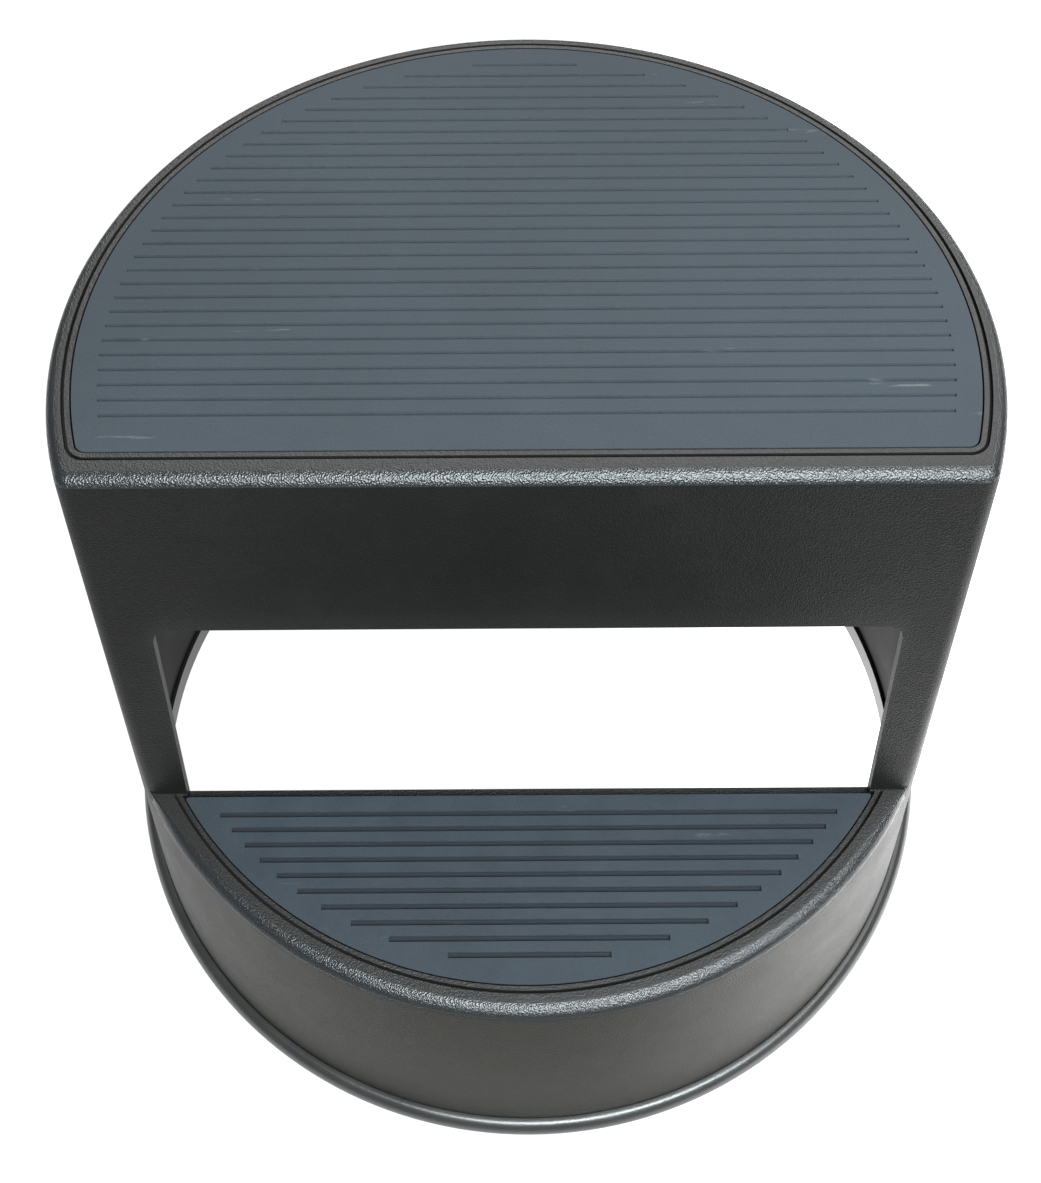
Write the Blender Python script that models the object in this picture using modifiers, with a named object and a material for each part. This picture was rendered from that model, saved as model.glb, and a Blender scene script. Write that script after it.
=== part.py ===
"""Round rolling step stool with two ribbed treads, an open riser and three sprung swivel casters.

Metres. +Z up, front toward -Y, origin on the floor under the centre of the round base.
"""
import math

import bmesh
import bpy
from mathutils import Matrix, Vector

# ---- body ------------------------------------------------------------------------------------
TOP_Z = 0.3260              # rim of the upper deck
DECK_Z = 0.1455             # rim of the lower deck
EDGE_Z = 0.0110             # lower edge of the moulded wall
TOP_RADIUS = 0.1625         # wall radius at the upper deck
DRAFT = 0.126               # how much the wall widens per metre of drop
RISER_TOP_Y = -0.0610       # riser face at the upper deck
RISER_FOOT_Y = -0.0926      # riser face at the lower deck
WALL = 0.0040
PANEL = 0.0075              # thickness of both decks, measured at the rim
ROLL = 0.0052               # radius of the rolled upper rim
DECK_ROLL = 0.0065          # radius of the rolled lower rim
UPRIGHT_CORNER = 0.0060     # radius of the riser's two upright corners
ROLL_STEPS = 4
ROUND_STEPS = 96            # facets round a full turn of the body
ARC_STEPS = 64              # facets round its rear, from corner to corner
FRONT_STEPS = 28            # facets across its front
CORNER_STEPS = 5
LEVELS = 4                  # steps up the riser
OUTSET = 0.4                # reaches well outside the object, for cutters

# ---- opening in the riser --------------------------------------------------------------------
OPENING_TOP_Z = 0.2520
OPENING_BOTTOM_Z = DECK_Z - 0.0045
OPENING_TOP_HALF = 0.1362
OPENING_BOTTOM_HALF = 0.1447
OPENING_CORNER = 0.0070
OPENING_FRONT_Y = -0.0940
OPENING_BACK_Y = -0.0450

# ---- treads ----------------------------------------------------------------------------------
TREAD_THICKNESS = 0.0030
UPPER_TREAD_RADIUS = 0.1535
UPPER_TREAD_FRONT_Y = -0.0496
LOWER_TREAD_RADIUS = 0.1732
LOWER_TREAD_BACK_Y = -0.0942
TREAD_CORNER = 0.0040
TREAD_SIDE_GAP = 0.0008
TREAD_BED_GAP = 0.0003
RIB_PITCH = 0.0066
RIB_GROOVE_WIDTH = 0.0014
RIB_GROOVE_DEPTH = 0.0009
RIB_MARGIN = 0.0085
SHORTEST_GROOVE = 0.0120    # half length
UPPER_RIBS = 29
LOWER_RIBS = 10
UPPER_FIRST_RIB = 0.0130    # from the front edge of the upper tread to its first groove
LOWER_FIRST_RIB = 0.0085    # from the back edge of the lower tread to its first groove

# ---- border line round each tread ------------------------------------------------------------
BEAD_WIDTH = 0.0014
LINE_WIDTH = 0.0012
LINE_DEPTH = 0.0012
LOWER_RECESS_BACK_Y = -0.0932

# ---- base ring -------------------------------------------------------------------------------
RING_BOTTOM_Z = 0.0060
RING_TOP_Z = 0.0195
RING_RADIUS = 0.2075
RING_INNER_RADIUS = 0.1950
FIT_GAP = 0.0003

# ---- caster units ----------------------------------------------------------------------------
CASTER_RADIUS = 0.1500      # from the centre of the stool to each swivel axis
CASTERS = (("rear", 90.0), ("right", -42.0), ("left", -138.0))
SHELF_BOTTOM_Z = 0.0920
SHELF_THICKNESS = 0.0050
SHELF_HALF = 0.0240
GUSSET_THICKNESS = 0.0030
GUSSET_TOP_Z = 0.1350
WALL_BITE = 0.0020          # how far the shelves are sunk in the wall
FACETS = 16                 # facets round the small turned pieces
SMALL_FACETS = 8            # and round the screws

HOUSING_OUTER = 0.0140
HOUSING_INNER = 0.0116
HOUSING_BOTTOM_Z = 0.0620
HOUSING_TOP_Z = 0.1280
HOUSING_LID = 0.0022
HOUSING_LIP = 0.0025
HOUSING_LIP_RADIUS = 0.0096
FLANGE_RADIUS = 0.0230
FLANGE_TOP_Z = SHELF_BOTTOM_Z - FIT_GAP
FLANGE_THICKNESS = 0.0025
SOCKET_RADIUS = HOUSING_OUTER + 0.0004

SCREW_COUNT = 3
SCREW_CIRCLE = 0.0188
SCREW_RADIUS = 0.0016
SCREW_HEAD_RADIUS = 0.0031
SCREW_HEAD = 0.0020
SCREW_TIP_Z = SHELF_BOTTOM_Z + 0.0042
SCREW_HOLE = SCREW_RADIUS + 0.0003

PLUNGER_BOTTOM_Z = 0.0480
PLUNGER_RADIUS = 0.0092
PLUNGER_BORE = 0.0053
COLLAR_RADIUS = 0.0112
COLLAR_BOTTOM_Z = HOUSING_BOTTOM_Z + HOUSING_LIP + FIT_GAP
COLLAR_HEIGHT = 0.0052
SEAT_Z = COLLAR_BOTTOM_Z + COLLAR_HEIGHT

SPRING_WIRE = 0.0009
SPRING_RADIUS = 0.0097
SPRING_TURNS = 5
SPRING_STEPS = 10

PIN_RADIUS = 0.0050
PIN_TOP_Z = 0.0728
PIN_HEAD_RADIUS = 0.0075
PIN_HEAD = 0.0020
CLIP_RADIUS = 0.0074
CLIP_HEIGHT = 0.0010
PIN_NECK_RADIUS = 0.0040
WASHER_RADIUS = 0.0110
WASHER_HEIGHT = 0.0024

FORK_TOP_Z = 0.0450
FORK_PLATE = 0.0025
FORK_LEG = 0.0020
FORK_GAP = 0.0170           # between the two legs
FORK_HALF_LENGTH = 0.0120
FORK_LEG_HALF = 0.0060
TRAIL = 0.0120

WHEEL_RADIUS = 0.0190
WHEEL_WIDTH = 0.0140
WHEEL_FACETS = 24
TYRE_DEPTH = 0.0060
TYRE_ROUND = 0.0020
HUB_BORE = 0.0033
HUB_BOSS = 0.0060
HUB_WIDTH = 0.0156
AXLE_RADIUS = 0.0030
AXLE_HEAD_RADIUS = 0.0048
AXLE_HEAD = 0.0015

# ---- materials: colour, roughness, metallic --------------------------------------------------
MATERIALS = {
    "moulded_body": ((0.045, 0.043, 0.041, 1.0), 0.45, 0.0),
    "upper_tread": ((0.105, 0.125, 0.145, 1.0), 0.75, 0.0),
    "lower_tread": ((0.085, 0.105, 0.125, 1.0), 0.75, 0.0),
    "base_ring": ((0.035, 0.034, 0.033, 1.0), 0.55, 0.0),
    "housing": ((0.55, 0.55, 0.56, 1.0), 0.35, 1.0),
    "screws": ((0.60, 0.60, 0.58, 1.0), 0.30, 1.0),
    "plunger": ((0.42, 0.43, 0.44, 1.0), 0.30, 1.0),
    "spring": ((0.35, 0.35, 0.36, 1.0), 0.35, 1.0),
    "fork": ((0.58, 0.58, 0.60, 1.0), 0.35, 1.0),
    "pins": ((0.62, 0.62, 0.63, 1.0), 0.28, 1.0),
    "washer": ((0.75, 0.73, 0.66, 1.0), 0.50, 0.0),
    "wheel_hub": ((0.20, 0.20, 0.21, 1.0), 0.50, 0.0),
    "tyre": ((0.030, 0.030, 0.030, 1.0), 0.70, 0.0),
}


def clear_scene():
    for item in list(bpy.data.objects):
        bpy.data.objects.remove(item, do_unlink=True)


def new_collection(name):
    collection = bpy.data.collections.new(name)
    bpy.context.scene.collection.children.link(collection)
    return collection


def material(name):
    found = bpy.data.materials.get(name)
    if found:
        return found
    colour, roughness, metallic = MATERIALS[name]
    made = bpy.data.materials.new(name)
    made.use_nodes = True
    shader = made.node_tree.nodes["Principled BSDF"]
    shader.inputs["Base Color"].default_value = colour
    shader.inputs["Roughness"].default_value = roughness
    shader.inputs["Metallic"].default_value = metallic
    made.diffuse_color = colour
    return made


def add_object(name, mesh):
    item = bpy.data.objects.new(name, mesh)
    CUTTERS.objects.link(item)
    item.hide_render = True
    item.display_type = "WIRE"
    return item


def keep(item, name, slot, smooth_degrees=35.0):
    """Turns a finished solid into a sub-part of the stool."""
    item.name = name
    item.data.name = name
    CUTTERS.objects.unlink(item)
    STOOL.objects.link(item)
    item.hide_render = False
    item.display_type = "TEXTURED"
    item.data.materials.clear()
    item.data.materials.append(material(slot))
    item.data.shade_smooth()
    item.data.set_sharp_from_angle(angle=math.radians(smooth_degrees))


def settle(item):
    """Makes the evaluated shape the object's own mesh."""
    bpy.context.view_layer.update()
    graph = bpy.context.evaluated_depsgraph_get()
    mesh = bpy.data.meshes.new_from_object(item.evaluated_get(graph))
    mesh.transform(item.matrix_world)
    item.modifiers.clear()
    item.matrix_world = Matrix.Identity(4)
    item.data = mesh
    return item


def combine(item, other, operation):
    """Joins, cuts or trims an object with another one, which is then removed."""
    step = item.modifiers.new(operation.lower(), "BOOLEAN")
    step.operation = operation
    step.solver = "EXACT"
    step.object = other
    settle(item)
    bpy.data.objects.remove(other, do_unlink=True)
    return item


def cut(item, cutter):
    return combine(item, cutter, "DIFFERENCE")


def join(item, other):
    return combine(item, other, "UNION")


def move(item, offset):
    item.data.transform(Matrix.Translation(Vector(offset)))
    return item


def turn(item, degrees, axis):
    item.data.transform(Matrix.Rotation(math.radians(degrees), 4, axis))
    return item


def from_bmesh(name, build):
    mesh = bpy.data.meshes.new(name)
    work = bmesh.new()
    build(work)
    bmesh.ops.recalc_face_normals(work, faces=work.faces)
    work.to_mesh(mesh)
    work.free()
    return add_object(name, mesh)


def frustum(name, low_radius, high_radius, low_z, high_z, facets):
    def build(work):
        place = Matrix.Translation((0.0, 0.0, 0.5 * (low_z + high_z)))
        bmesh.ops.create_cone(work, cap_ends=True, segments=facets, radius1=low_radius,
                              radius2=high_radius, depth=high_z - low_z, matrix=place)
    return from_bmesh(name, build)


def cylinder(name, radius, low_z, high_z, facets=FACETS):
    return frustum(name, radius, radius, low_z, high_z, facets)


def drill(item, x, y, radius, low_z, high_z):
    """An upright hole; it is turned a little so that no corner of it meets an edge it cuts."""
    hole = turn(cylinder("hole", radius, low_z, high_z, SMALL_FACETS), 7.0, "Z")
    cut(item, move(hole, (x, y, 0.0)))


def box(name, low, high):
    size = [b - a for a, b in zip(low, high)]
    middle = [0.5 * (a + b) for a, b in zip(low, high)]

    def build(work):
        place = Matrix.Translation(middle) @ Matrix.Diagonal((*size, 1.0))
        bmesh.ops.create_cube(work, size=1.0, matrix=place)
    return from_bmesh(name, build)


def outline_solid(name, outlines, low, high):
    """A flat outline in X and Y, with holes if it has more than one loop, filled from low to high."""
    curve = bpy.data.curves.new(name, "CURVE")
    curve.dimensions = "2D"
    curve.fill_mode = "BOTH"
    curve.extrude = 0.5 * (high - low)
    for points in outlines:
        spline = curve.splines.new("POLY")
        spline.points.add(len(points) - 1)
        for spot, (x, y) in zip(spline.points, points):
            spot.co = (x, y, 0.0, 1.0)
        spline.use_cyclic_u = True
    holder = bpy.data.objects.new(name, curve)
    CUTTERS.objects.link(holder)
    bpy.context.view_layer.update()
    graph = bpy.context.evaluated_depsgraph_get()
    mesh = bpy.data.meshes.new_from_object(holder.evaluated_get(graph))
    bpy.data.objects.remove(holder, do_unlink=True)
    mesh.transform(Matrix.Translation((0.0, 0.0, 0.5 * (low + high))))
    work = bmesh.new()
    work.from_mesh(mesh)
    bmesh.ops.remove_doubles(work, verts=work.verts, dist=0.00002)
    bmesh.ops.recalc_face_normals(work, faces=work.faces)
    work.to_mesh(mesh)
    work.free()
    return add_object(name, mesh)


def turned(name, profile, facets=FACETS):
    """A round piece from a profile of (radius, height) that runs round its section, or ends on the axis."""
    mesh = bpy.data.meshes.new(name)
    spots = [(radius, 0.0, height) for radius, height in profile]
    count = len(spots)
    edges = []
    for i in range(count):
        other = (i + 1) % count
        if max(spots[i][0], spots[other][0]) > 0.0:
            edges.append((i, other))
    mesh.from_pydata(spots, edges, [])
    item = add_object(name, mesh)
    screw = item.modifiers.new("turn", "SCREW")
    screw.angle = 2.0 * math.pi
    screw.steps = facets
    screw.render_steps = facets
    screw.use_merge_vertices = True
    screw.merge_threshold = 0.00002
    settle(item)
    work = bmesh.new()
    work.from_mesh(item.data)
    bmesh.ops.remove_doubles(work, verts=work.verts, dist=0.00002)
    bmesh.ops.recalc_face_normals(work, faces=work.faces)
    work.to_mesh(item.data)
    work.free()
    return item


def wall_radius(z):
    return TOP_RADIUS + DRAFT * (TOP_Z - z)


def riser_y(z):
    slope = (RISER_FOOT_Y - RISER_TOP_Y) / (TOP_Z - DECK_Z)
    return RISER_TOP_Y + slope * (TOP_Z - z)


def arc_points(radius, start, end, steps):
    """Points on a circle from one angle to another, in degrees from +X."""
    spots = []
    for i in range(steps + 1):
        angle = math.radians(start + (end - start) * i / steps)
        spots.append((radius * math.cos(angle), radius * math.sin(angle)))
    return spots


def segment_outline(radius, chord_y, corner, above, steps=ARC_STEPS):
    """A circle cut by a straight chord, with rounded corners; the arc is above or below it."""
    side = 1.0 if above else -1.0
    height = side * chord_y + corner
    inner = radius - corner
    across = math.sqrt(inner * inner - height * height)
    lean = math.degrees(math.atan2(height, across))
    spots = arc_points(radius, lean, 180.0 - lean, steps)
    for i in range(1, CORNER_STEPS + 1):
        angle = math.radians(180.0 - lean + (90.0 + lean) * i / CORNER_STEPS)
        spots.append((-across + corner * math.cos(angle), height + corner * math.sin(angle)))
    for i in range(CORNER_STEPS):
        angle = math.radians(-90.0 + (90.0 + lean) * i / CORNER_STEPS)
        spots.append((across + corner * math.cos(angle), height + corner * math.sin(angle)))
    return [(x, side * y) for x, y in spots]


def notched_body(name, inset, low_z, high_z, notch_z):
    """The tapering body with its front cut away down to the lower deck, all faces moved in by inset."""
    low_radius = wall_radius(low_z) - inset
    high_radius = wall_radius(high_z) - inset
    body = frustum(name, low_radius, high_radius, low_z, high_z, ROUND_STEPS)
    above_z = high_z + 0.05
    profile = [
        (-OUTSET, notch_z),
        (riser_y(notch_z) + inset, notch_z),
        (riser_y(above_z) + inset, above_z),
        (-OUTSET, above_z),
    ]
    notch = outline_solid("notch", [profile], -OUTSET, OUTSET)
    notch.data.transform(Matrix(((0, 0, 1, 0), (1, 0, 0, 0), (0, 1, 0, 0), (0, 0, 0, 1))))
    return cut(body, notch)


def rolled(angle, edge, slope, roll):
    """Distance from the axis of a rolled edge where its surface faces up by this angle.

    edge is where the sharp edge would be, and slope is how fast the wall widens downward.
    """
    middle = edge + slope * roll - roll * math.sqrt(1.0 + slope * slope)
    return middle + roll * math.cos(angle)


def flat_ring(radius, chord_y, corner, z):
    """One level section of the upper body: round behind, straight across the riser."""
    outline = segment_outline(radius, chord_y, corner, True, ARC_STEPS)
    after_left = ARC_STEPS + 1 + CORNER_STEPS
    left = Vector(outline[after_left - 1])
    right = Vector(outline[after_left])
    chord = [tuple(left.lerp(right, i / FRONT_STEPS)) for i in range(1, FRONT_STEPS)]
    outline[after_left:after_left] = chord
    return [(x, y, z) for x, y in outline]


def drum_ring(foot, wall_z, front_radius, front_z):
    """A ring of the round base: the rear follows the wall, the front the lower deck's rim."""
    rear_count = ARC_STEPS + 1
    wall = wall_radius(wall_z)
    spots = []
    for x, y, _ in foot[:rear_count]:
        angle = math.atan2(y, x)
        spots.append((wall * math.cos(angle), wall * math.sin(angle), wall_z))
    lean = math.atan2(foot[0][1], foot[0][0])
    front_count = len(foot) - rear_count + 1
    for i in range(1, front_count):
        angle = math.pi - lean + (math.pi + 2.0 * lean) * i / front_count
        share = min(1.0, i / CORNER_STEPS, (front_count - i) / CORNER_STEPS)
        radius = share * front_radius + (1.0 - share) * wall
        spots.append((radius * math.cos(angle), radius * math.sin(angle),
                      share * front_z + (1.0 - share) * wall_z))
    return spots


def body_rings():
    """Rings from the bottom edge up: round base, rolled lower rim, deck, riser, rolled upper rim."""
    wall_lean = math.atan(DRAFT)
    riser_slope = (RISER_TOP_Y - RISER_FOOT_Y) / (TOP_Z - DECK_Z)
    angles = [wall_lean + (0.5 * math.pi - wall_lean) * i / ROLL_STEPS
              for i in range(ROLL_STEPS + 1)]
    foot = flat_ring(wall_radius(DECK_Z), RISER_FOOT_Y, UPRIGHT_CORNER, DECK_Z)
    rings = [drum_ring(foot, EDGE_Z, wall_radius(EDGE_Z), EDGE_Z)]
    for i, angle in enumerate(angles):
        wall_z = DECK_Z - DECK_ROLL * (1.0 - i / (ROLL_STEPS + 1))
        front_radius = rolled(angle, wall_radius(DECK_Z), DRAFT, DECK_ROLL)
        front_z = DECK_Z - DECK_ROLL * (1.0 - math.sin(angle))
        rings.append(drum_ring(foot, wall_z, front_radius, front_z))
    rings.append(foot)
    roll_z = TOP_Z - ROLL * (1.0 - math.sin(wall_lean))
    for i in range(1, LEVELS + 1):
        z = DECK_Z + (roll_z - DECK_Z) * i / LEVELS
        rings.append(flat_ring(wall_radius(z), riser_y(z), UPRIGHT_CORNER, z))
    for angle in angles[1:]:
        rings.append(flat_ring(rolled(angle, TOP_RADIUS, DRAFT, ROLL),
                               -rolled(angle, -RISER_TOP_Y, riser_slope, ROLL),
                               UPRIGHT_CORNER - ROLL * (1.0 - math.cos(angle)),
                               TOP_Z - ROLL * (1.0 - math.sin(angle))))
    return rings


def loft(name, rings):
    """A closed solid through rings that all have the same number of points."""
    def build(work):
        rows = [[work.verts.new(spot) for spot in ring] for ring in rings]
        for low, high in zip(rows, rows[1:]):
            for i in range(len(low)):
                n = (i + 1) % len(low)
                work.faces.new((low[i], low[n], high[n], high[i]))
        work.faces.new(list(reversed(rows[0])))
        work.faces.new(rows[-1])
    return from_bmesh(name, build)


def cut_tread_beds(body):
    """Sinks the bed of each tread, and the thin line that runs round it."""
    bed = TREAD_THICKNESS + TREAD_BED_GAP
    upper_radius = UPPER_TREAD_RADIUS + TREAD_SIDE_GAP
    upper_y = UPPER_TREAD_FRONT_Y - TREAD_SIDE_GAP
    corner = TREAD_CORNER + TREAD_SIDE_GAP
    outline = segment_outline(upper_radius, upper_y, corner, True)
    cut(body, outline_solid("bed", [outline], TOP_Z - bed, TOP_Z + 0.01))

    inner = BEAD_WIDTH
    outer = BEAD_WIDTH + LINE_WIDTH
    loops = []
    for grow in (outer, inner):
        loops.append(segment_outline(upper_radius + grow, upper_y - grow, corner + grow, True))
    cut(body, outline_solid("line", loops, TOP_Z - LINE_DEPTH, TOP_Z + 0.01))

    lower_radius = LOWER_TREAD_RADIUS + TREAD_SIDE_GAP
    outline = segment_outline(lower_radius, LOWER_RECESS_BACK_Y, 0.0004, False)
    cut(body, outline_solid("bed", [outline], DECK_Z - bed, DECK_Z + 0.01))

    band = []
    for grow, reverse in ((outer, False), (inner, True)):
        radius = lower_radius + grow
        lean = math.degrees(math.asin(-LOWER_RECESS_BACK_Y / radius))
        spots = arc_points(radius, -180.0 + lean, -lean, 64)
        band += spots[::-1] if reverse else spots
    cut(body, outline_solid("line", [band], DECK_Z - LINE_DEPTH, DECK_Z + 0.01))


def cut_riser_opening(body):
    """A wide opening with rounded upper corners, from leg to leg, down to the lower deck."""
    run = OPENING_BOTTOM_HALF - OPENING_TOP_HALF
    lean = math.atan2(run, OPENING_TOP_Z - OPENING_BOTTOM_Z)
    reach = OPENING_CORNER * math.tan(0.25 * math.pi - 0.5 * lean)
    middle_x = OPENING_TOP_HALF - reach
    middle_z = OPENING_TOP_Z - OPENING_CORNER
    corner = []
    for i in range(6):
        angle = lean + (0.5 * math.pi - lean) * i / 5.0
        x = middle_x + OPENING_CORNER * math.cos(angle)
        z = middle_z + OPENING_CORNER * math.sin(angle)
        corner.append((x, z))
    outline = [(OPENING_BOTTOM_HALF, OPENING_BOTTOM_Z)] + corner
    outline += [(-x, z) for x, z in reversed(outline)]
    cutter = outline_solid("opening", [outline], -OPENING_BACK_Y, -OPENING_FRONT_Y)
    turn(cutter, 90.0, "X")
    cut(body, cutter)


def caster_spot(degrees):
    angle = math.radians(degrees)
    return (CASTER_RADIUS * math.cos(angle), CASTER_RADIUS * math.sin(angle), 0.0)


def screw_spots(degrees):
    """Where the screws go round one swivel axis, in world X and Y."""
    centre = caster_spot(degrees)
    spots = []
    for i in range(SCREW_COUNT):
        angle = math.radians(degrees + 60.0 + 360.0 * i / SCREW_COUNT)
        spots.append((centre[0] + SCREW_CIRCLE * math.cos(angle),
                      centre[1] + SCREW_CIRCLE * math.sin(angle)))
    return spots


def add_caster_shelf(body, degrees):
    """A moulded shelf with two gussets, standing in from the wall to carry one caster unit."""
    top_z = SHELF_BOTTOM_Z + SHELF_THICKNESS
    shelf = cylinder("shelf", SHELF_HALF, SHELF_BOTTOM_Z, top_z, 32)
    reach = box("reach", (0.0, -SHELF_HALF, SHELF_BOTTOM_Z), (0.06, SHELF_HALF, top_z))
    join(shelf, reach)
    for side in (-1.0, 1.0):
        outer_y = side * (SHELF_HALF - 0.0008)
        inner_y = outer_y - side * GUSSET_THICKNESS
        profile = [(-0.002, top_z - 0.002), (0.06, top_z - 0.002), (0.06, GUSSET_TOP_Z),
                   (0.026, GUSSET_TOP_Z)]
        gusset = outline_solid("gusset", [profile], min(inner_y, outer_y), max(inner_y, outer_y))
        gusset.data.transform(Matrix(((1, 0, 0, 0), (0, 0, 1, 0), (0, 1, 0, 0), (0, 0, 0, 1))))
        work = bmesh.new()
        work.from_mesh(gusset.data)
        bmesh.ops.recalc_face_normals(work, faces=work.faces)
        work.to_mesh(gusset.data)
        work.free()
        join(shelf, gusset)
    turn(move(shelf, (CASTER_RADIUS, 0.0, 0.0)), degrees, "Z")
    low_z = SHELF_BOTTOM_Z - 0.01
    high_z = GUSSET_TOP_Z + 0.01
    limit = frustum("limit", wall_radius(low_z) - WALL_BITE, wall_radius(high_z) - WALL_BITE,
                    low_z, high_z, ROUND_STEPS)
    combine(shelf, limit, "INTERSECT")
    join(body, shelf)
    x, y, _ = caster_spot(degrees)
    socket = cylinder("socket", SOCKET_RADIUS, SHELF_BOTTOM_Z - 0.005, top_z + 0.005)
    cut(body, move(socket, (x, y, 0.0)))
    for spot_x, spot_y in screw_spots(degrees):
        drill(body, spot_x, spot_y, SCREW_HOLE, SHELF_BOTTOM_Z - 0.005, top_z + 0.005)


def build_body():
    body = loft("body", body_rings())
    hollow = notched_body("hollow", WALL, EDGE_Z - 0.02, TOP_Z - PANEL, DECK_Z - PANEL)
    cut(body, hollow)
    cut_riser_opening(body)
    cut_tread_beds(body)
    for _, degrees in CASTERS:
        add_caster_shelf(body, degrees)
    keep(body, "moulded_body", "moulded_body", 30.0)


def rib_cutter(y, half, top_z):
    """One straight groove across a tread, stopping short of the rounded edge."""
    low = (-half, y - 0.5 * RIB_GROOVE_WIDTH, top_z - RIB_GROOVE_DEPTH)
    high = (half, y + 0.5 * RIB_GROOVE_WIDTH, top_z + 0.002)
    return box("groove", low, high)


def build_tread(name, outline, top_z, radius, groove_rows):
    tread = outline_solid("tread", [outline], top_z - TREAD_THICKNESS, top_z)
    for y in groove_rows:
        half_square = (radius - RIB_MARGIN) ** 2 - y * y
        if half_square > SHORTEST_GROOVE ** 2:
            cut(tread, rib_cutter(y, math.sqrt(half_square), top_z))
    keep(tread, name, name)


def build_treads():
    outline = segment_outline(UPPER_TREAD_RADIUS, UPPER_TREAD_FRONT_Y, TREAD_CORNER, True)
    rows = [UPPER_TREAD_FRONT_Y + UPPER_FIRST_RIB + RIB_PITCH * i for i in range(UPPER_RIBS)]
    build_tread("upper_tread", outline, TOP_Z, UPPER_TREAD_RADIUS, rows)
    outline = segment_outline(LOWER_TREAD_RADIUS, LOWER_TREAD_BACK_Y, 0.0010, False)
    rows = [LOWER_TREAD_BACK_Y - LOWER_FIRST_RIB - RIB_PITCH * i for i in range(LOWER_RIBS)]
    build_tread("lower_tread", outline, DECK_Z, LOWER_TREAD_RADIUS, rows)


def build_base_ring():
    """A soft ring with a slot in its top that holds the lower edge of the wall."""
    bulge = 0.5 * (RING_TOP_Z - RING_BOTTOM_Z)
    middle_z = RING_BOTTOM_Z + bulge
    profile = [(wall_radius(RING_TOP_Z) + FIT_GAP, RING_TOP_Z - 0.0005)]
    for degrees in (70.0, 45.0, 20.0, -5.0, -30.0, -55.0):
        angle = math.radians(degrees)
        radius = RING_RADIUS - bulge + bulge * math.cos(angle)
        profile.append((radius, middle_z + bulge * math.sin(angle)))
    profile.append((RING_RADIUS - bulge, RING_BOTTOM_Z))
    profile.append((RING_INNER_RADIUS + 0.0010, RING_BOTTOM_Z))
    profile.append((RING_INNER_RADIUS, RING_BOTTOM_Z + 0.0010))
    lip_z = RING_TOP_Z - 0.0035
    lip_radius = wall_radius(lip_z) - WALL - FIT_GAP
    profile.append((lip_radius - 0.0018, lip_z))
    profile.append((lip_radius, lip_z))
    slot_z = EDGE_Z - FIT_GAP
    profile.append((wall_radius(slot_z) - WALL - FIT_GAP, slot_z))
    profile.append((wall_radius(slot_z) + FIT_GAP, slot_z))
    keep(turned("ring", profile, ROUND_STEPS), "base_ring", "base_ring")


def place(item, name, slot, degrees):
    """Stands a finished piece, made round the Z axis, on the swivel axis of its caster unit."""
    keep(item, name, slot)
    item.location = caster_spot(degrees)


def build_housing(side, degrees):
    """Closed steel tube with a screw flange; a lip at its foot stops the plunger."""
    flange_z = FLANGE_TOP_Z - FLANGE_THICKNESS
    lip_z = HOUSING_BOTTOM_Z + HOUSING_LIP
    ceiling_z = HOUSING_TOP_Z - HOUSING_LID
    profile = [
        (HOUSING_OUTER - 0.0015, HOUSING_TOP_Z),
        (HOUSING_OUTER, HOUSING_TOP_Z - 0.0015),
        (HOUSING_OUTER, FLANGE_TOP_Z),
        (FLANGE_RADIUS, FLANGE_TOP_Z),
        (FLANGE_RADIUS, flange_z),
        (HOUSING_OUTER, flange_z),
        (HOUSING_OUTER, HOUSING_BOTTOM_Z),
        (HOUSING_LIP_RADIUS, HOUSING_BOTTOM_Z),
        (HOUSING_LIP_RADIUS, lip_z),
        (HOUSING_INNER, lip_z),
        (HOUSING_INNER, ceiling_z),
        (0.0, ceiling_z),
        (0.0, HOUSING_TOP_Z),
    ]
    housing = turned("housing", profile)
    x, y, _ = caster_spot(degrees)
    for spot_x, spot_y in screw_spots(degrees):
        drill(housing, spot_x - x, spot_y - y, SCREW_HOLE, flange_z - 0.003, FLANGE_TOP_Z + 0.003)
    place(housing, "caster_housing_" + side, "housing", degrees)


def build_screws(side, degrees):
    """The screws that hold one housing up under its shelf."""
    head_z = FLANGE_TOP_Z - FLANGE_THICKNESS - FIT_GAP
    profile = [
        (0.0, SCREW_TIP_Z),
        (SCREW_RADIUS, SCREW_TIP_Z - 0.0012),
        (SCREW_RADIUS, head_z),
        (SCREW_HEAD_RADIUS, head_z),
        (SCREW_HEAD_RADIUS - 0.0008, head_z - SCREW_HEAD),
        (0.0, head_z - SCREW_HEAD),
    ]
    for number, (x, y) in enumerate(screw_spots(degrees), start=1):
        screw = turned("screw", profile, SMALL_FACETS)
        keep(screw, "housing_screw_%s_%d" % (side, number), "screws")
        screw.location = (x, y, 0.0)


def build_plunger(side, degrees):
    """Sleeve that slides in the housing; its collar carries the spring and rests on the lip."""
    profile = [
        (COLLAR_RADIUS, SEAT_Z),
        (COLLAR_RADIUS, COLLAR_BOTTOM_Z),
        (PLUNGER_RADIUS, COLLAR_BOTTOM_Z),
        (PLUNGER_RADIUS, PLUNGER_BOTTOM_Z),
        (PLUNGER_BORE, PLUNGER_BOTTOM_Z),
        (PLUNGER_BORE, SEAT_Z),
    ]
    place(turned("plunger", profile), "plunger_" + side, "plunger", degrees)


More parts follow.
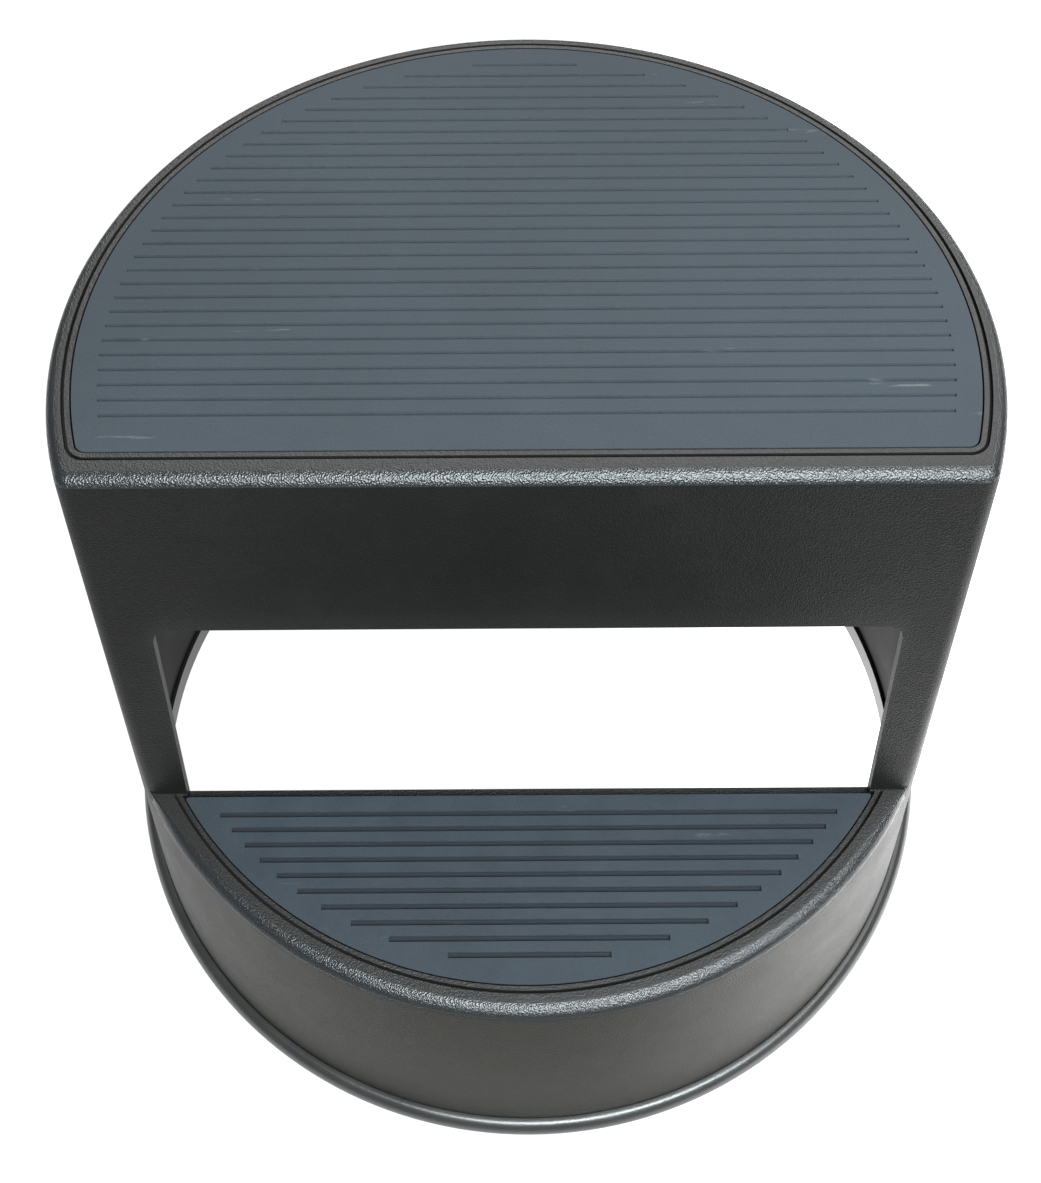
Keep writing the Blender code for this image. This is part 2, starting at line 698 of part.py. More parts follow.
def build_spring(side, degrees):
    """Coil between the plunger's collar and the closed top of the housing."""
    low_z = SEAT_Z + SPRING_WIRE + 0.0002
    high_z = HOUSING_TOP_Z - HOUSING_LID - SPRING_WIRE - 0.0003
    count = SPRING_TURNS * SPRING_STEPS
    curve = bpy.data.curves.new("spring", "CURVE")
    curve.dimensions = "3D"
    curve.bevel_depth = SPRING_WIRE
    curve.bevel_resolution = 2
    curve.use_fill_caps = True
    spline = curve.splines.new("POLY")
    spline.points.add(count)
    for i, spot in enumerate(spline.points):
        angle = 2.0 * math.pi * i / SPRING_STEPS
        share = i / count
        height = low_z + (high_z - low_z) * share
        spot.co = (SPRING_RADIUS * math.cos(angle), SPRING_RADIUS * math.sin(angle), height, 1.0)
    holder = bpy.data.objects.new("spring", curve)
    CUTTERS.objects.link(holder)
    bpy.context.view_layer.update()
    graph = bpy.context.evaluated_depsgraph_get()
    mesh = bpy.data.meshes.new_from_object(holder.evaluated_get(graph))
    bpy.data.objects.remove(holder, do_unlink=True)
    work = bmesh.new()
    work.from_mesh(mesh)
    bmesh.ops.remove_doubles(work, verts=work.verts, dist=0.00002)
    bmesh.ops.recalc_face_normals(work, faces=work.faces)
    work.to_mesh(mesh)
    work.free()
    place(add_object("spring", mesh), "spring_" + side, "spring", degrees)


def build_pivot(side, degrees):
    """Headed pin on which the fork swivels, with its washer and the clip that keeps it in."""
    head_top = FORK_TOP_Z - FORK_PLATE - FIT_GAP
    clip_z = SEAT_Z + FIT_GAP
    groove_top = clip_z + CLIP_HEIGHT + FIT_GAP
    profile = [
        (0.0, PIN_TOP_Z),
        (PIN_RADIUS - 0.0006, PIN_TOP_Z),
        (PIN_RADIUS, PIN_TOP_Z - 0.0005),
        (PIN_RADIUS, groove_top),
        (PIN_NECK_RADIUS, groove_top),
        (PIN_NECK_RADIUS, SEAT_Z),
        (PIN_RADIUS, SEAT_Z),
        (PIN_RADIUS, head_top),
        (PIN_HEAD_RADIUS, head_top),
        (PIN_HEAD_RADIUS - 0.0010, head_top - PIN_HEAD),
        (0.0, head_top - PIN_HEAD),
    ]
    place(turned("pin", profile), "pivot_pin_" + side, "pins", degrees)

    inner = PIN_NECK_RADIUS + FIT_GAP
    profile = [
        (CLIP_RADIUS, clip_z + CLIP_HEIGHT),
        (CLIP_RADIUS, clip_z),
        (inner, clip_z),
        (inner, clip_z + CLIP_HEIGHT),
    ]
    place(turned("clip", profile), "pivot_clip_" + side, "pins", degrees)

    low_z = FORK_TOP_Z + FIT_GAP
    inner = PIN_RADIUS + FIT_GAP
    profile = [
        (WASHER_RADIUS - 0.0004, low_z + WASHER_HEIGHT),
        (WASHER_RADIUS, low_z + WASHER_HEIGHT - 0.0004),
        (WASHER_RADIUS, low_z),
        (inner, low_z),
        (inner, low_z + WASHER_HEIGHT),
    ]
    place(turned("washer", profile), "thrust_washer_" + side, "washer", degrees)


def build_fork(side, degrees):
    """Bent steel yoke: a plate on the pivot and two legs that hold the axle behind it."""
    plate_z = FORK_TOP_Z - FORK_PLATE
    half = 0.5 * FORK_GAP + FORK_LEG
    fork = box("fork", (-half, -FORK_HALF_LENGTH, plate_z), (half, FORK_HALF_LENGTH, FORK_TOP_Z))
    for side_sign in (-1.0, 1.0):
        outline = [(-FORK_HALF_LENGTH + 0.0010, FORK_TOP_Z - 0.0004)]
        low = []
        for i in range(9):
            angle = math.radians(200.0 + 160.0 * i / 8.0)
            low.append((TRAIL + FORK_LEG_HALF * math.cos(angle),
                        WHEEL_RADIUS + FORK_LEG_HALF * math.sin(angle)))
        outline += [(-FORK_HALF_LENGTH + 0.0010, plate_z - 0.004)] + low
        outline += [(FORK_HALF_LENGTH + 0.004, plate_z - 0.004)]
        outline += [(FORK_HALF_LENGTH - 0.0010, FORK_TOP_Z - 0.0004)]
        near = 0.5 * FORK_GAP
        ends = sorted((side_sign * near, side_sign * (near + FORK_LEG - 0.0001)))
        leg = outline_solid("leg", [outline], ends[0], ends[1])
        leg.data.transform(Matrix(((0, 0, 1, 0), (1, 0, 0, 0), (0, 1, 0, 0), (0, 0, 0, 1))))
        join(fork, leg)
    cut(fork, cylinder("hole", PIN_RADIUS + FIT_GAP, plate_z - 0.005, FORK_TOP_Z + 0.005))
    axle_hole = turn(cylinder("hole", AXLE_RADIUS + FIT_GAP, -0.03, 0.03, 16), 90.0, "Y")
    cut(fork, move(axle_hole, (0.0, TRAIL, WHEEL_RADIUS)))
    place(fork, "fork_" + side, "fork", degrees)


def build_wheel(side, degrees):
    """Axle, hub and soft tyre; each has its origin on the axle's line."""
    x, y, _ = caster_spot(degrees)
    centre = (x, y + TRAIL, WHEEL_RADIUS)
    flat_share = math.cos(math.pi / WHEEL_FACETS)
    outer = WHEEL_RADIUS / flat_share
    seat = outer - TYRE_DEPTH
    half = 0.5 * WHEEL_WIDTH
    head = 0.5 * FORK_GAP + FORK_LEG + FIT_GAP

    profile = [
        (outer - TYRE_ROUND, half),
        (outer, half - TYRE_ROUND),
        (outer, TYRE_ROUND - half),
        (outer - TYRE_ROUND, -half),
        (seat, -half),
        (seat, half),
    ]
    tyre = turned("tyre", profile, WHEEL_FACETS)

    rim = seat - FIT_GAP
    boss = 0.5 * HUB_WIDTH
    web = 0.0040
    rim_inner = rim - 0.0022
    profile = [
        (HUB_BOSS, boss),
        (HUB_BOSS, web),
        (rim_inner, web),
        (rim_inner, half - 0.0008),
        (rim, half - 0.0008),
        (rim, 0.0008 - half),
        (rim_inner, 0.0008 - half),
        (rim_inner, -web),
        (HUB_BOSS, -web),
        (HUB_BOSS, -boss),
        (HUB_BORE, -boss),
        (HUB_BORE, boss),
    ]
    hub = turned("hub", profile, WHEEL_FACETS)

    profile = [
        (0.0, head + AXLE_HEAD),
        (AXLE_HEAD_RADIUS - 0.0006, head + AXLE_HEAD),
        (AXLE_HEAD_RADIUS, head + AXLE_HEAD - 0.0006),
        (AXLE_HEAD_RADIUS, head),
        (AXLE_RADIUS, head),
        (AXLE_RADIUS, -head),
        (AXLE_HEAD_RADIUS, -head),
        (AXLE_HEAD_RADIUS, 0.0006 - head - AXLE_HEAD),
        (AXLE_HEAD_RADIUS - 0.0006, -head - AXLE_HEAD),
        (0.0, -head - AXLE_HEAD),
    ]
    axle = turned("axle", profile, 16)

    for item, name, slot in ((tyre, "wheel_tyre_", "tyre"), (hub, "wheel_hub_", "wheel_hub"),
                             (axle, "axle_", "pins")):
        turn(item, 180.0 / WHEEL_FACETS, "Z")
        turn(item, 90.0, "Y")
        keep(item, name + side, slot)
        item.location = centre


def build_caster(side, degrees):
    build_housing(side, degrees)
    build_screws(side, degrees)
    build_plunger(side, degrees)
    build_spring(side, degrees)
    build_pivot(side, degrees)
    build_fork(side, degrees)
    build_wheel(side, degrees)


clear_scene()
STOOL = new_collection("step_stool")
CUTTERS = new_collection("cutters")
build_body()
build_treads()
build_base_ring()
for caster_side, caster_degrees in CASTERS:
    build_caster(caster_side, caster_degrees)
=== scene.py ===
"""The looks of a round two-step rolling stool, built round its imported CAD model."""
import math

import bmesh
import bpy
from mathutils import Matrix, Vector


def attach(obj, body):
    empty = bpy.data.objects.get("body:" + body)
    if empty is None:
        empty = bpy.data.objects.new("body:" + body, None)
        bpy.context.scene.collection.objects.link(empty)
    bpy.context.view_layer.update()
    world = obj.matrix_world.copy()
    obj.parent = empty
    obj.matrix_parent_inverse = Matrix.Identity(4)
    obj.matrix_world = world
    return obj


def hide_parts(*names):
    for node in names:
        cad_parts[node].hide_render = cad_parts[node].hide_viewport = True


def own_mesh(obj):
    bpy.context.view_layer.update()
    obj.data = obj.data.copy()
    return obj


# Sizes in metres, the same as the CAD model's.
TOP_Z = 0.3260
DECK_Z = 0.1455
EDGE_Z = 0.0110
TOP_RADIUS = 0.1625
DRAFT = 0.126
RISER_TOP_Y = -0.0610
RISER_FOOT_Y = -0.0926
WALL = 0.0040
PANEL = 0.0075
ROLL = 0.0052
DECK_ROLL = 0.0065
UPRIGHT_CORNER = 0.0060
ROLL_STEPS = 10
ROUND_STEPS = 192
ARC_STEPS = 128
FRONT_STEPS = 56
CORNER_STEPS = 8
LEVELS = 12
RING_STEPS = 192
OUTSET = 0.4

OPENING_TOP_Z = 0.2520
OPENING_BOTTOM_Z = DECK_Z - 0.0045
OPENING_TOP_HALF = 0.1362
OPENING_BOTTOM_HALF = 0.1447
OPENING_CORNER = 0.0070
OPENING_FRONT_Y = -0.0940
OPENING_BACK_Y = -0.0450

TREAD_THICKNESS = 0.0030
UPPER_TREAD_RADIUS = 0.1535
UPPER_TREAD_FRONT_Y = -0.0496
LOWER_TREAD_RADIUS = 0.1732
LOWER_TREAD_BACK_Y = -0.0942
TREAD_CORNER = 0.0040
TREAD_SIDE_GAP = 0.0006
TREAD_BED_GAP = 0.0003
RIB_PITCH = 0.0066
UPPER_RIBS = 29
LOWER_RIBS = 10
UPPER_FIRST_RIB_Y = -0.0347
LOWER_FIRST_RIB_Y = -0.1021
RIB_MARGIN = 0.0085
SHORTEST_GROOVE = 0.0120

BEAD_WIDTH = 0.0017
LINE_WIDTH = 0.0012
LINE_DEPTH = 0.0018
LOWER_RECESS_BACK_Y = -0.0932

RING_BOTTOM_Z = 0.0060
RING_TOP_Z = 0.0195
RING_RADIUS = 0.20747
RING_INNER_RADIUS = 0.1950
FIT_GAP = 0.0003

CASTER_RADIUS = 0.1500
CASTERS = (("rear", 90.0), ("right", -42.0), ("left", -138.0))
SHELF_BOTTOM_Z = 0.0920
SHELF_THICKNESS = 0.0050
SHELF_HALF = 0.0240
GUSSET_THICKNESS = 0.0030
GUSSET_TOP_Z = 0.1350
SOCKET_RADIUS = 0.0144
SCREW_COUNT = 3
SCREW_CIRCLE = 0.0188
SCREW_HOLE = 0.0019

HOUSING_OUTER = 0.0140
HOUSING_INNER = 0.0116
HOUSING_BOTTOM_Z = 0.0620
HOUSING_TOP_Z = 0.1280
HOUSING_LID = 0.0022
HOUSING_LIP = 0.0025
FLANGE_RADIUS = 0.0230
FLANGE_TOP_Z = SHELF_BOTTOM_Z - FIT_GAP
FLANGE_THICKNESS = 0.0025
PLUNGER_BOTTOM_Z = 0.0480
PLUNGER_RADIUS = 0.0092
PLUNGER_BORE = 0.0053
COLLAR_RADIUS = 0.0112
COLLAR_BOTTOM_Z = HOUSING_BOTTOM_Z + HOUSING_LIP + FIT_GAP
SEAT_Z = COLLAR_BOTTOM_Z + 0.0052
SPRING_WIRE = 0.0009
SPRING_RADIUS = 0.0097
SPRING_TURNS = 5
PIN_RADIUS = 0.0050
PIN_TOP_Z = 0.0728
FORK_TOP_Z = 0.0450
FORK_PLATE = 0.0025
FORK_LEG = 0.0020
FORK_GAP = 0.0170
FORK_HALF_LENGTH = 0.0120
FORK_LEG_HALF = 0.0060
TRAIL = 0.0120
WHEEL_RADIUS = 0.0190
WHEEL_WIDTH = 0.0140
TYRE_DEPTH = 0.0060

# Grooves of the two treads, and how much painted shade darkens them.
UPPER_GROOVE_WIDTH = 0.0015
UPPER_GROOVE_DEPTH = 0.0007
UPPER_GROOVE_SHADE = 0.12
LOWER_GROOVE_WIDTH = 0.0024
LOWER_GROOVE_DEPTH = 0.0012
LOWER_GROOVE_SHADE = 0.75

# Small fastenings of the caster units.
HOUSING_MOUTH = 0.0096
SCREW_TIP_Z = 0.0962
SCREW_SHANK = 0.0016
SCREW_HEAD = 0.0031
PIN_NECK = 0.0040
PIN_HEAD = 0.0075
CLIP_RADIUS = 0.0074
CLIP_THICKNESS = 0.0010
WASHER_RADIUS = 0.0110
WASHER_THICKNESS = 0.0024
HUB_BOSS = 0.0060
HUB_BOSS_HALF = 0.0078
HUB_WEB_HALF = 0.0040
AXLE_RADIUS = 0.0030
AXLE_HOLE = 0.0033
AXLE_HEAD = 0.0048

# How white the floor looks, and how much it and the surround light the stool.
FLOOR_WHITE = 0.99
RIGHT_GLOW = 2.00
WORLD_LIGHT = 0.20

# Camera: where it stands and how it looks at the stool.
CAMERA_SPOT = (-0.00084, -0.30647, 0.65943)
CAMERA_TILT = 58.355        # degrees below the horizon
CAMERA_ROLL = -0.349
CAMERA_LENS = 39.53
CAMERA_SHIFT = (-0.00414, -0.00566)


# ---- mesh helpers ------------
def new_object(name, mesh):
    item = bpy.data.objects.new(name, mesh)
    bpy.context.scene.collection.objects.link(item)
    return item


def from_bmesh(name, build):
    mesh = bpy.data.meshes.new(name)
    work = bmesh.new()
    build(work)
    bmesh.ops.recalc_face_normals(work, faces=work.faces)
    work.to_mesh(mesh)
    work.free()
    return new_object(name, mesh)


def settle(item):
    """Makes the evaluated shape the object's own mesh."""
    bpy.context.view_layer.update()
    graph = bpy.context.evaluated_depsgraph_get()
    mesh = bpy.data.meshes.new_from_object(item.evaluated_get(graph))
    item.modifiers.clear()
    item.data = mesh


def combine(item, other, operation):
    step = item.modifiers.new("combine", "BOOLEAN")
    step.operation = operation
    step.solver = "EXACT"
    step.object = other
    settle(item)
    bpy.data.objects.remove(other, do_unlink=True)
    return item


def cut(item, cutter):
    return combine(item, cutter, "DIFFERENCE")


def move(item, offset):
    item.data.transform(Matrix.Translation(Vector(offset)))
    return item


def turn(item, degrees, axis):
    item.data.transform(Matrix.Rotation(math.radians(degrees), 4, axis))
    return item


def frustum(name, low_radius, high_radius, low_z, high_z, facets):
    def build(work):
        place = Matrix.Translation((0.0, 0.0, 0.5 * (low_z + high_z)))
        bmesh.ops.create_cone(work, cap_ends=True, segments=facets, radius1=low_radius,
                              radius2=high_radius, depth=high_z - low_z, matrix=place)
    return from_bmesh(name, build)


def cylinder(name, radius, low_z, high_z, facets=40):
    return frustum(name, radius, radius, low_z, high_z, facets)


def box(name, low, high):
    size = [b - a for a, b in zip(low, high)]
    middle = [0.5 * (a + b) for a, b in zip(low, high)]

    def build(work):
        place = Matrix.Translation(middle) @ Matrix.Diagonal((*size, 1.0))
        bmesh.ops.create_cube(work, size=1.0, matrix=place)
    return from_bmesh(name, build)


def outline_solid(name, outlines, low, high):
    """Flat loops in X and Y, the later ones holes, filled from low to high."""
    curve = bpy.data.curves.new(name, "CURVE")
    curve.dimensions = "2D"
    curve.fill_mode = "BOTH"
    curve.extrude = 0.5 * (high - low)
    for points in outlines:
        spline = curve.splines.new("POLY")
        spline.points.add(len(points) - 1)
        for spot, (x, y) in zip(spline.points, points):
            spot.co = (x, y, 0.0, 1.0)
        spline.use_cyclic_u = True
    holder = new_object(name, curve)
    bpy.context.view_layer.update()
    graph = bpy.context.evaluated_depsgraph_get()
    mesh = bpy.data.meshes.new_from_object(holder.evaluated_get(graph))
    bpy.data.objects.remove(holder, do_unlink=True)
    mesh.transform(Matrix.Translation((0.0, 0.0, 0.5 * (low + high))))
    work = bmesh.new()
    work.from_mesh(mesh)
    bmesh.ops.remove_doubles(work, verts=work.verts, dist=0.00002)
    bmesh.ops.recalc_face_normals(work, faces=work.faces)
    work.to_mesh(mesh)
    work.free()
    return new_object(name, mesh)


def swap_axes(item, rows):
    item.data.transform(Matrix([list(row) + [0] for row in rows] + [[0, 0, 0, 1]]))
    work = bmesh.new()
    work.from_mesh(item.data)
    bmesh.ops.recalc_face_normals(work, faces=work.faces)
    work.to_mesh(item.data)
    work.free()
    return item


def merged(name, items):
    """Several separate shapes as one object."""
    work = bmesh.new()
    for item in items:
        work.from_mesh(item.data)
        bpy.data.objects.remove(item, do_unlink=True)
    mesh = bpy.data.meshes.new(name)
    work.to_mesh(mesh)
    work.free()
    return new_object(name, mesh)


def rounded_profile(profile, rounds, steps=4):
    """Replaces each corner of a closed profile by an arc; rounds gives a radius for each corner."""
    spots = []
    count = len(profile)
    for i in range(count):
        here = Vector(profile[i])
        back = Vector(profile[i - 1]) - here
        ahead = Vector(profile[(i + 1) % count]) - here
        reach = rounds[i]
        reach = min(reach, 0.48 * back.length, 0.48 * ahead.length)
        on_axis = here.x <= 0.0
        if reach <= 0.0 or on_axis:
            spots.append(tuple(here))
            continue
        first = here + back.normalized() * reach
        last = here + ahead.normalized() * reach
        for j in range(steps + 1):
            t = j / steps
            spot = first * (1 - t) ** 2 + here * (2 * t * (1 - t)) + last * t ** 2
            spots.append(tuple(spot))
    return spots


def lathe(name, profile, rounds=0.0, facets=64, steps=4):
    """A turned piece from a profile of (radius, height) that runs round its section."""
    if not isinstance(rounds, (list, tuple)):
        rounds = [rounds] * len(profile)
    spots = rounded_profile(profile, rounds, steps)

    def build(work):
        rings = []
        for radius, height in spots:
            if radius <= 0.0:
                rings.append([work.verts.new((0.0, 0.0, height))])
                continue
            ring = []
            for k in range(facets):
                angle = 2.0 * math.pi * k / facets
                ring.append(work.verts.new((radius * math.cos(angle), radius * math.sin(angle),
                                            height)))
            rings.append(ring)
        for i, ring in enumerate(rings):
            other = rings[(i + 1) % len(rings)]
            if len(ring) == 1 and len(other) == 1:
                continue
            for k in range(facets):
                n = (k + 1) % facets
                if len(ring) == 1:
                    work.faces.new((ring[0], other[k], other[n]))
                elif len(other) == 1:
                    work.faces.new((ring[k], ring[n], other[0]))
                else:
                    work.faces.new((ring[k], ring[n], other[n], other[k]))
    return from_bmesh(name, build)


def smooth(item, degrees=30.0):
    item.data.shade_smooth()
    item.data.set_sharp_from_angle(angle=math.radians(degrees))
    step = item.modifiers.new("normals", "WEIGHTED_NORMAL")
    step.keep_sharp = True
    step.weight = 80


def soften(item, width, degrees=35.0, segments=2):
    """Small rounding on every sharp edge."""
    step = item.modifiers.new("soften", "BEVEL")
    step.width = width
    step.segments = segments
    step.limit_method = "ANGLE"
    step.angle_limit = math.radians(degrees)
    step.harden_normals = False
    step.miter_outer = "MITER_ARC"


# ---- materials ------------
def node(tree, kind, **settings):
    made = tree.nodes.new(kind)
    for key, value in settings.items():
        if key.startswith("in_"):
            made.inputs[key[3:].replace("_", " ")].default_value = value
        else:
            setattr(made, key, value)
    return made


def noise(tree, coordinates, scale, detail, roughness):
    made = node(tree, "ShaderNodeTexNoise", in_Scale=scale, in_Detail=detail,
                in_Roughness=roughness)
    tree.links.new(coordinates, made.inputs["Vector"])
    return made.outputs["Fac"]


def ramp(tree, value, stops):
    made = node(tree, "ShaderNodeValToRGB")
    band = made.color_ramp
    while len(band.elements) < len(stops):
        band.elements.new(0.5)
    for element, (spot, colour) in zip(band.elements, stops):
        element.position = spot
        element.color = colour if len(colour) == 4 else (*colour, 1.0)
    tree.links.new(value, made.inputs["Fac"])
    return made.outputs["Color"]


def grey(level):
    return (level, level, level, 1.0)


def mix(tree, share, first, second, blend="MIX"):
    made = node(tree, "ShaderNodeMix", data_type="RGBA", blend_type=blend)
    for value, name in ((share, "Factor_Float"), (first, "A_Color"), (second, "B_Color")):
        socket = next(s for s in made.inputs if s.identifier == name)
        if isinstance(value, (int, float, tuple)):
            socket.default_value = value
        else:
            tree.links.new(value, socket)
    return next(s for s in made.outputs if s.identifier == "Result_Color")


def maths(tree, operation, first, second=0.5):
    made = node(tree, "ShaderNodeMath", operation=operation)
    for i, value in enumerate((first, second)):
        if isinstance(value, (int, float)):
            made.inputs[i].default_value = value
        else:
            tree.links.new(value, made.inputs[i])
    return made.outputs[0]


def surface(name):
    made = bpy.data.materials.new(name)
    made.use_nodes = True
    tree = made.node_tree
    shader = tree.nodes["Principled BSDF"]
    coordinates = node(tree, "ShaderNodeTexCoord").outputs["Object"]
    return made, tree, shader, coordinates


def bump(tree, shader, height, strength, distance):
    made = node(tree, "ShaderNodeBump", in_Strength=strength, in_Distance=distance)
    tree.links.new(height, made.inputs["Height"])
    tree.links.new(made.outputs["Normal"], shader.inputs["Normal"])


def edge_share(tree, low=0.50, high=0.60):
    """High where the surface is sharply convex."""
    geometry = node(tree, "ShaderNodeNewGeometry")
    made = node(tree, "ShaderNodeMapRange")
    made.inputs["From Min"].default_value = low
    made.inputs["From Max"].default_value = high
    tree.links.new(geometry.outputs["Pointiness"], made.inputs["Value"])
    return made.outputs["Result"]


def smooth_step(tree, value, start, end):
    made = node(tree, "ShaderNodeMapRange", interpolation_type="SMOOTHSTEP")
    made.inputs["From Min"].default_value = start
    made.inputs["From Max"].default_value = end
    tree.links.new(value, made.inputs["Value"])
    return made.outputs["Result"]


def grained_plastic(name, dark, light, rough_low, rough_high, gloss, dusty_skirt=False):
    """Near-black moulded plastic with a fine leather grain."""
    made, tree, shader, spot = surface(name)
    cells = node(tree, "ShaderNodeTexVoronoi", feature="SMOOTH_F1", in_Scale=1500.0,
                 in_Randomness=1.0, in_Smoothness=0.25)
    tree.links.new(spot, cells.inputs["Vector"])
    wide = noise(tree, spot, 9.0, 5.0, 0.6)
    patches = noise(tree, spot, 45.0, 4.0, 0.6)
    fine = noise(tree, spot, 2600.0, 3.0, 0.6)
    tone = ramp(tree, wide, [(0.30, dark), (0.70, light)])
    worn = ramp(tree, patches, [(0.50, grey(0.0)), (0.85, grey(0.5))])
    tone = mix(tree, worn, tone, (0.0125, 0.0115, 0.0095, 1.0))
    if dusty_skirt:
        place = node(tree, "ShaderNodeSeparateXYZ")
        tree.links.new(spot, place.inputs[0])
        below = smooth_step(tree, place.outputs["Z"], DECK_Z - 0.002, DECK_Z - 0.009)
        before = smooth_step(tree, place.outputs["Y"], -0.07, -0.15)
        dust = ramp(tree, patches, [(0.32, (0.0080, 0.0072, 0.0045)),
                                    (0.68, (0.0170, 0.0156, 0.0096))])
        tone = mix(tree, maths(tree, "MULTIPLY", below, before), tone, dust)
    edges = edge_share(tree)
    tone = mix(tree, maths(tree, "MULTIPLY", edges, 0.20), tone, (0.06, 0.06, 0.06, 1.0))
    tree.links.new(tone, shader.inputs["Base Color"])
    rough = ramp(tree, patches, [(0.25, grey(rough_low)), (0.75, grey(rough_high))])
    tree.links.new(rough, shader.inputs["Roughness"])
    shader.inputs["Specular IOR Level"].default_value = gloss
    height = maths(tree, "ADD", cells.outputs["Distance"], maths(tree, "MULTIPLY", fine, 0.5))
    bump(tree, shader, height, 0.55, 0.0004)
    return made


def body_looks():
    """The moulding's own surfaces as lit and shaded copies of one plastic: dull walls a darker tone
    as painted shade, glossy rolled edges a lighter bluer tone as painted highlight, flat rims a
    lighter tone as painted light, and the inside.
    """
    return [grained_plastic("shaded_wall_plastic", (0.0065, 0.0064, 0.0062), (0.0090, 0.0088, 0.0084),
                            0.37, 0.46, 0.14, True),
            inner_and_groove_shade_plastic(),
            grained_plastic("highlit_rolled_plastic", (0.0095, 0.0118, 0.0130), (0.0110, 0.0135, 0.0150),
                            0.21, 0.29, 0.78),
            grained_plastic("lit_rim_plastic", (0.0155, 0.0155, 0.0146), (0.0200, 0.0200, 0.0188),
                            0.37, 0.46, 0.42)]


def inner_and_groove_shade_plastic():
    """The unpolished inside of the moulding, also laid in the lines round the treads as painted
    shade.
    """
    made, tree, shader, spot = surface("inner_and_groove_shade_plastic")
    mottled = noise(tree, spot, 30.0, 5.0, 0.6)
    fine = noise(tree, spot, 700.0, 3.0, 0.6)
    tone = ramp(tree, mottled, [(0.30, (0.0100, 0.0097, 0.0094)), (0.70, (0.0145, 0.0140, 0.0134))])
    tree.links.new(tone, shader.inputs["Base Color"])
    rough = ramp(tree, mottled, [(0.30, grey(0.62)), (0.70, grey(0.74))])
    tree.links.new(rough, shader.inputs["Roughness"])
    bump(tree, shader, fine, 0.4, 0.0002)
    shader.inputs["Specular IOR Level"].default_value = 0.12
    return made


def ribbed_rubber(name, dark, light, top_z, groove_shade):
    """Matt blue-grey rubber, mottled and lightly scuffed, with painted shade darkening its grooves.
    """
    made, tree, shader, spot = surface(name)
    mottled = noise(tree, spot, 60.0, 6.0, 0.65)
    wide = noise(tree, spot, 8.0, 3.0, 0.5)
    fine = noise(tree, spot, 900.0, 3.0, 0.7)
    tone = ramp(tree, mottled, [(0.30, dark), (0.72, light)])
    shade = ramp(tree, wide, [(0.30, grey(0.90)), (0.70, grey(1.06))])
    tone = mix(tree, 1.0, tone, shade, "MULTIPLY")
    speckle = ramp(tree, noise(tree, spot, 1500.0, 2.0, 0.6),
                   [(0.36, grey(0.90)), (0.64, grey(1.10))])
    tone = mix(tree, 1.0, tone, speckle, "MULTIPLY")
    streak = node(tree, "ShaderNodeMapping")
    streak.inputs["Scale"].default_value = (22.0, 150.0, 30.0)
    tree.links.new(spot, streak.inputs["Vector"])
    scuff = noise(tree, streak.outputs["Vector"], 1.0, 5.0, 0.6)
    mark = ramp(tree, scuff, [(0.68, grey(0.0)), (0.78, grey(0.40))])
    tone = mix(tree, mark, tone, (0.24, 0.25, 0.25, 1.0))
    parts = node(tree, "ShaderNodeSeparateXYZ")
    tree.links.new(spot, parts.inputs[0])
    # Everything below the rib tops is darkened toward near-black: painted shade in the grooves.
    raised = smooth_step(tree, parts.outputs["Z"], top_z - 0.0007, top_z - 0.0001)
    painted_groove_shade = maths(tree, "MULTIPLY", maths(tree, "SUBTRACT", 1.0, raised), groove_shade)
    tone = mix(tree, painted_groove_shade, tone, (0.010, 0.012, 0.015, 1.0))
    tree.links.new(tone, shader.inputs["Base Color"])
    rough = ramp(tree, mottled, [(0.30, grey(0.64)), (0.70, grey(0.78))])
    tree.links.new(rough, shader.inputs["Roughness"])
    bump(tree, shader, fine, 0.25, 0.00015)
    shader.inputs["Specular IOR Level"].default_value = 0.30
    return made


def ring_vinyl():
    """Soft glossy black vinyl."""
    made, tree, shader, spot = surface("ring_vinyl")
    mottled = noise(tree, spot, 40.0, 5.0, 0.6)
    fine = noise(tree, spot, 1100.0, 2.0, 0.6)
    tone = ramp(tree, mottled, [(0.30, (0.0180, 0.0182, 0.0180)), (0.72, (0.0250, 0.0252, 0.0245))])
    tree.links.new(tone, shader.inputs["Base Color"])
    rough = ramp(tree, mottled, [(0.30, grey(0.27)), (0.70, grey(0.35))])
    tree.links.new(rough, shader.inputs["Roughness"])
    shader.inputs["Specular IOR Level"].default_value = 1.0
    bump(tree, shader, fine, 0.35, 0.0002)
    return made


def metal(name, colour, roughness, tarnish, scratch_scale=(40.0, 40.0, 900.0)):
    """Plated or turned steel with fine scratches and a little tarnish."""
    made, tree, shader, spot = surface(name)
    stretch = node(tree, "ShaderNodeMapping")
    stretch.inputs["Scale"].default_value = scratch_scale
    tree.links.new(spot, stretch.inputs["Vector"])
    lines = noise(tree, stretch.outputs["Vector"], 1.0, 4.0, 0.7)
    spots = noise(tree, spot, 160.0, 5.0, 0.65)
    bright = ramp(tree, lines, [(0.30, tuple(c * 0.86 for c in colour)), (0.70, colour)])
    dull = ramp(tree, spots, [(0.52, grey(0.0)), (0.75, grey(0.6))])
    tone = mix(tree, dull, bright, (*tarnish, 1.0))
    tree.links.new(tone, shader.inputs["Base Color"])
    shader.inputs["Metallic"].default_value = 1.0
    rough = ramp(tree, lines, [(0.30, grey(roughness)), (0.70, grey(roughness + 0.14))])
    tree.links.new(rough, shader.inputs["Roughness"])
    bump(tree, shader, lines, 0.15, 0.0001)
    return made


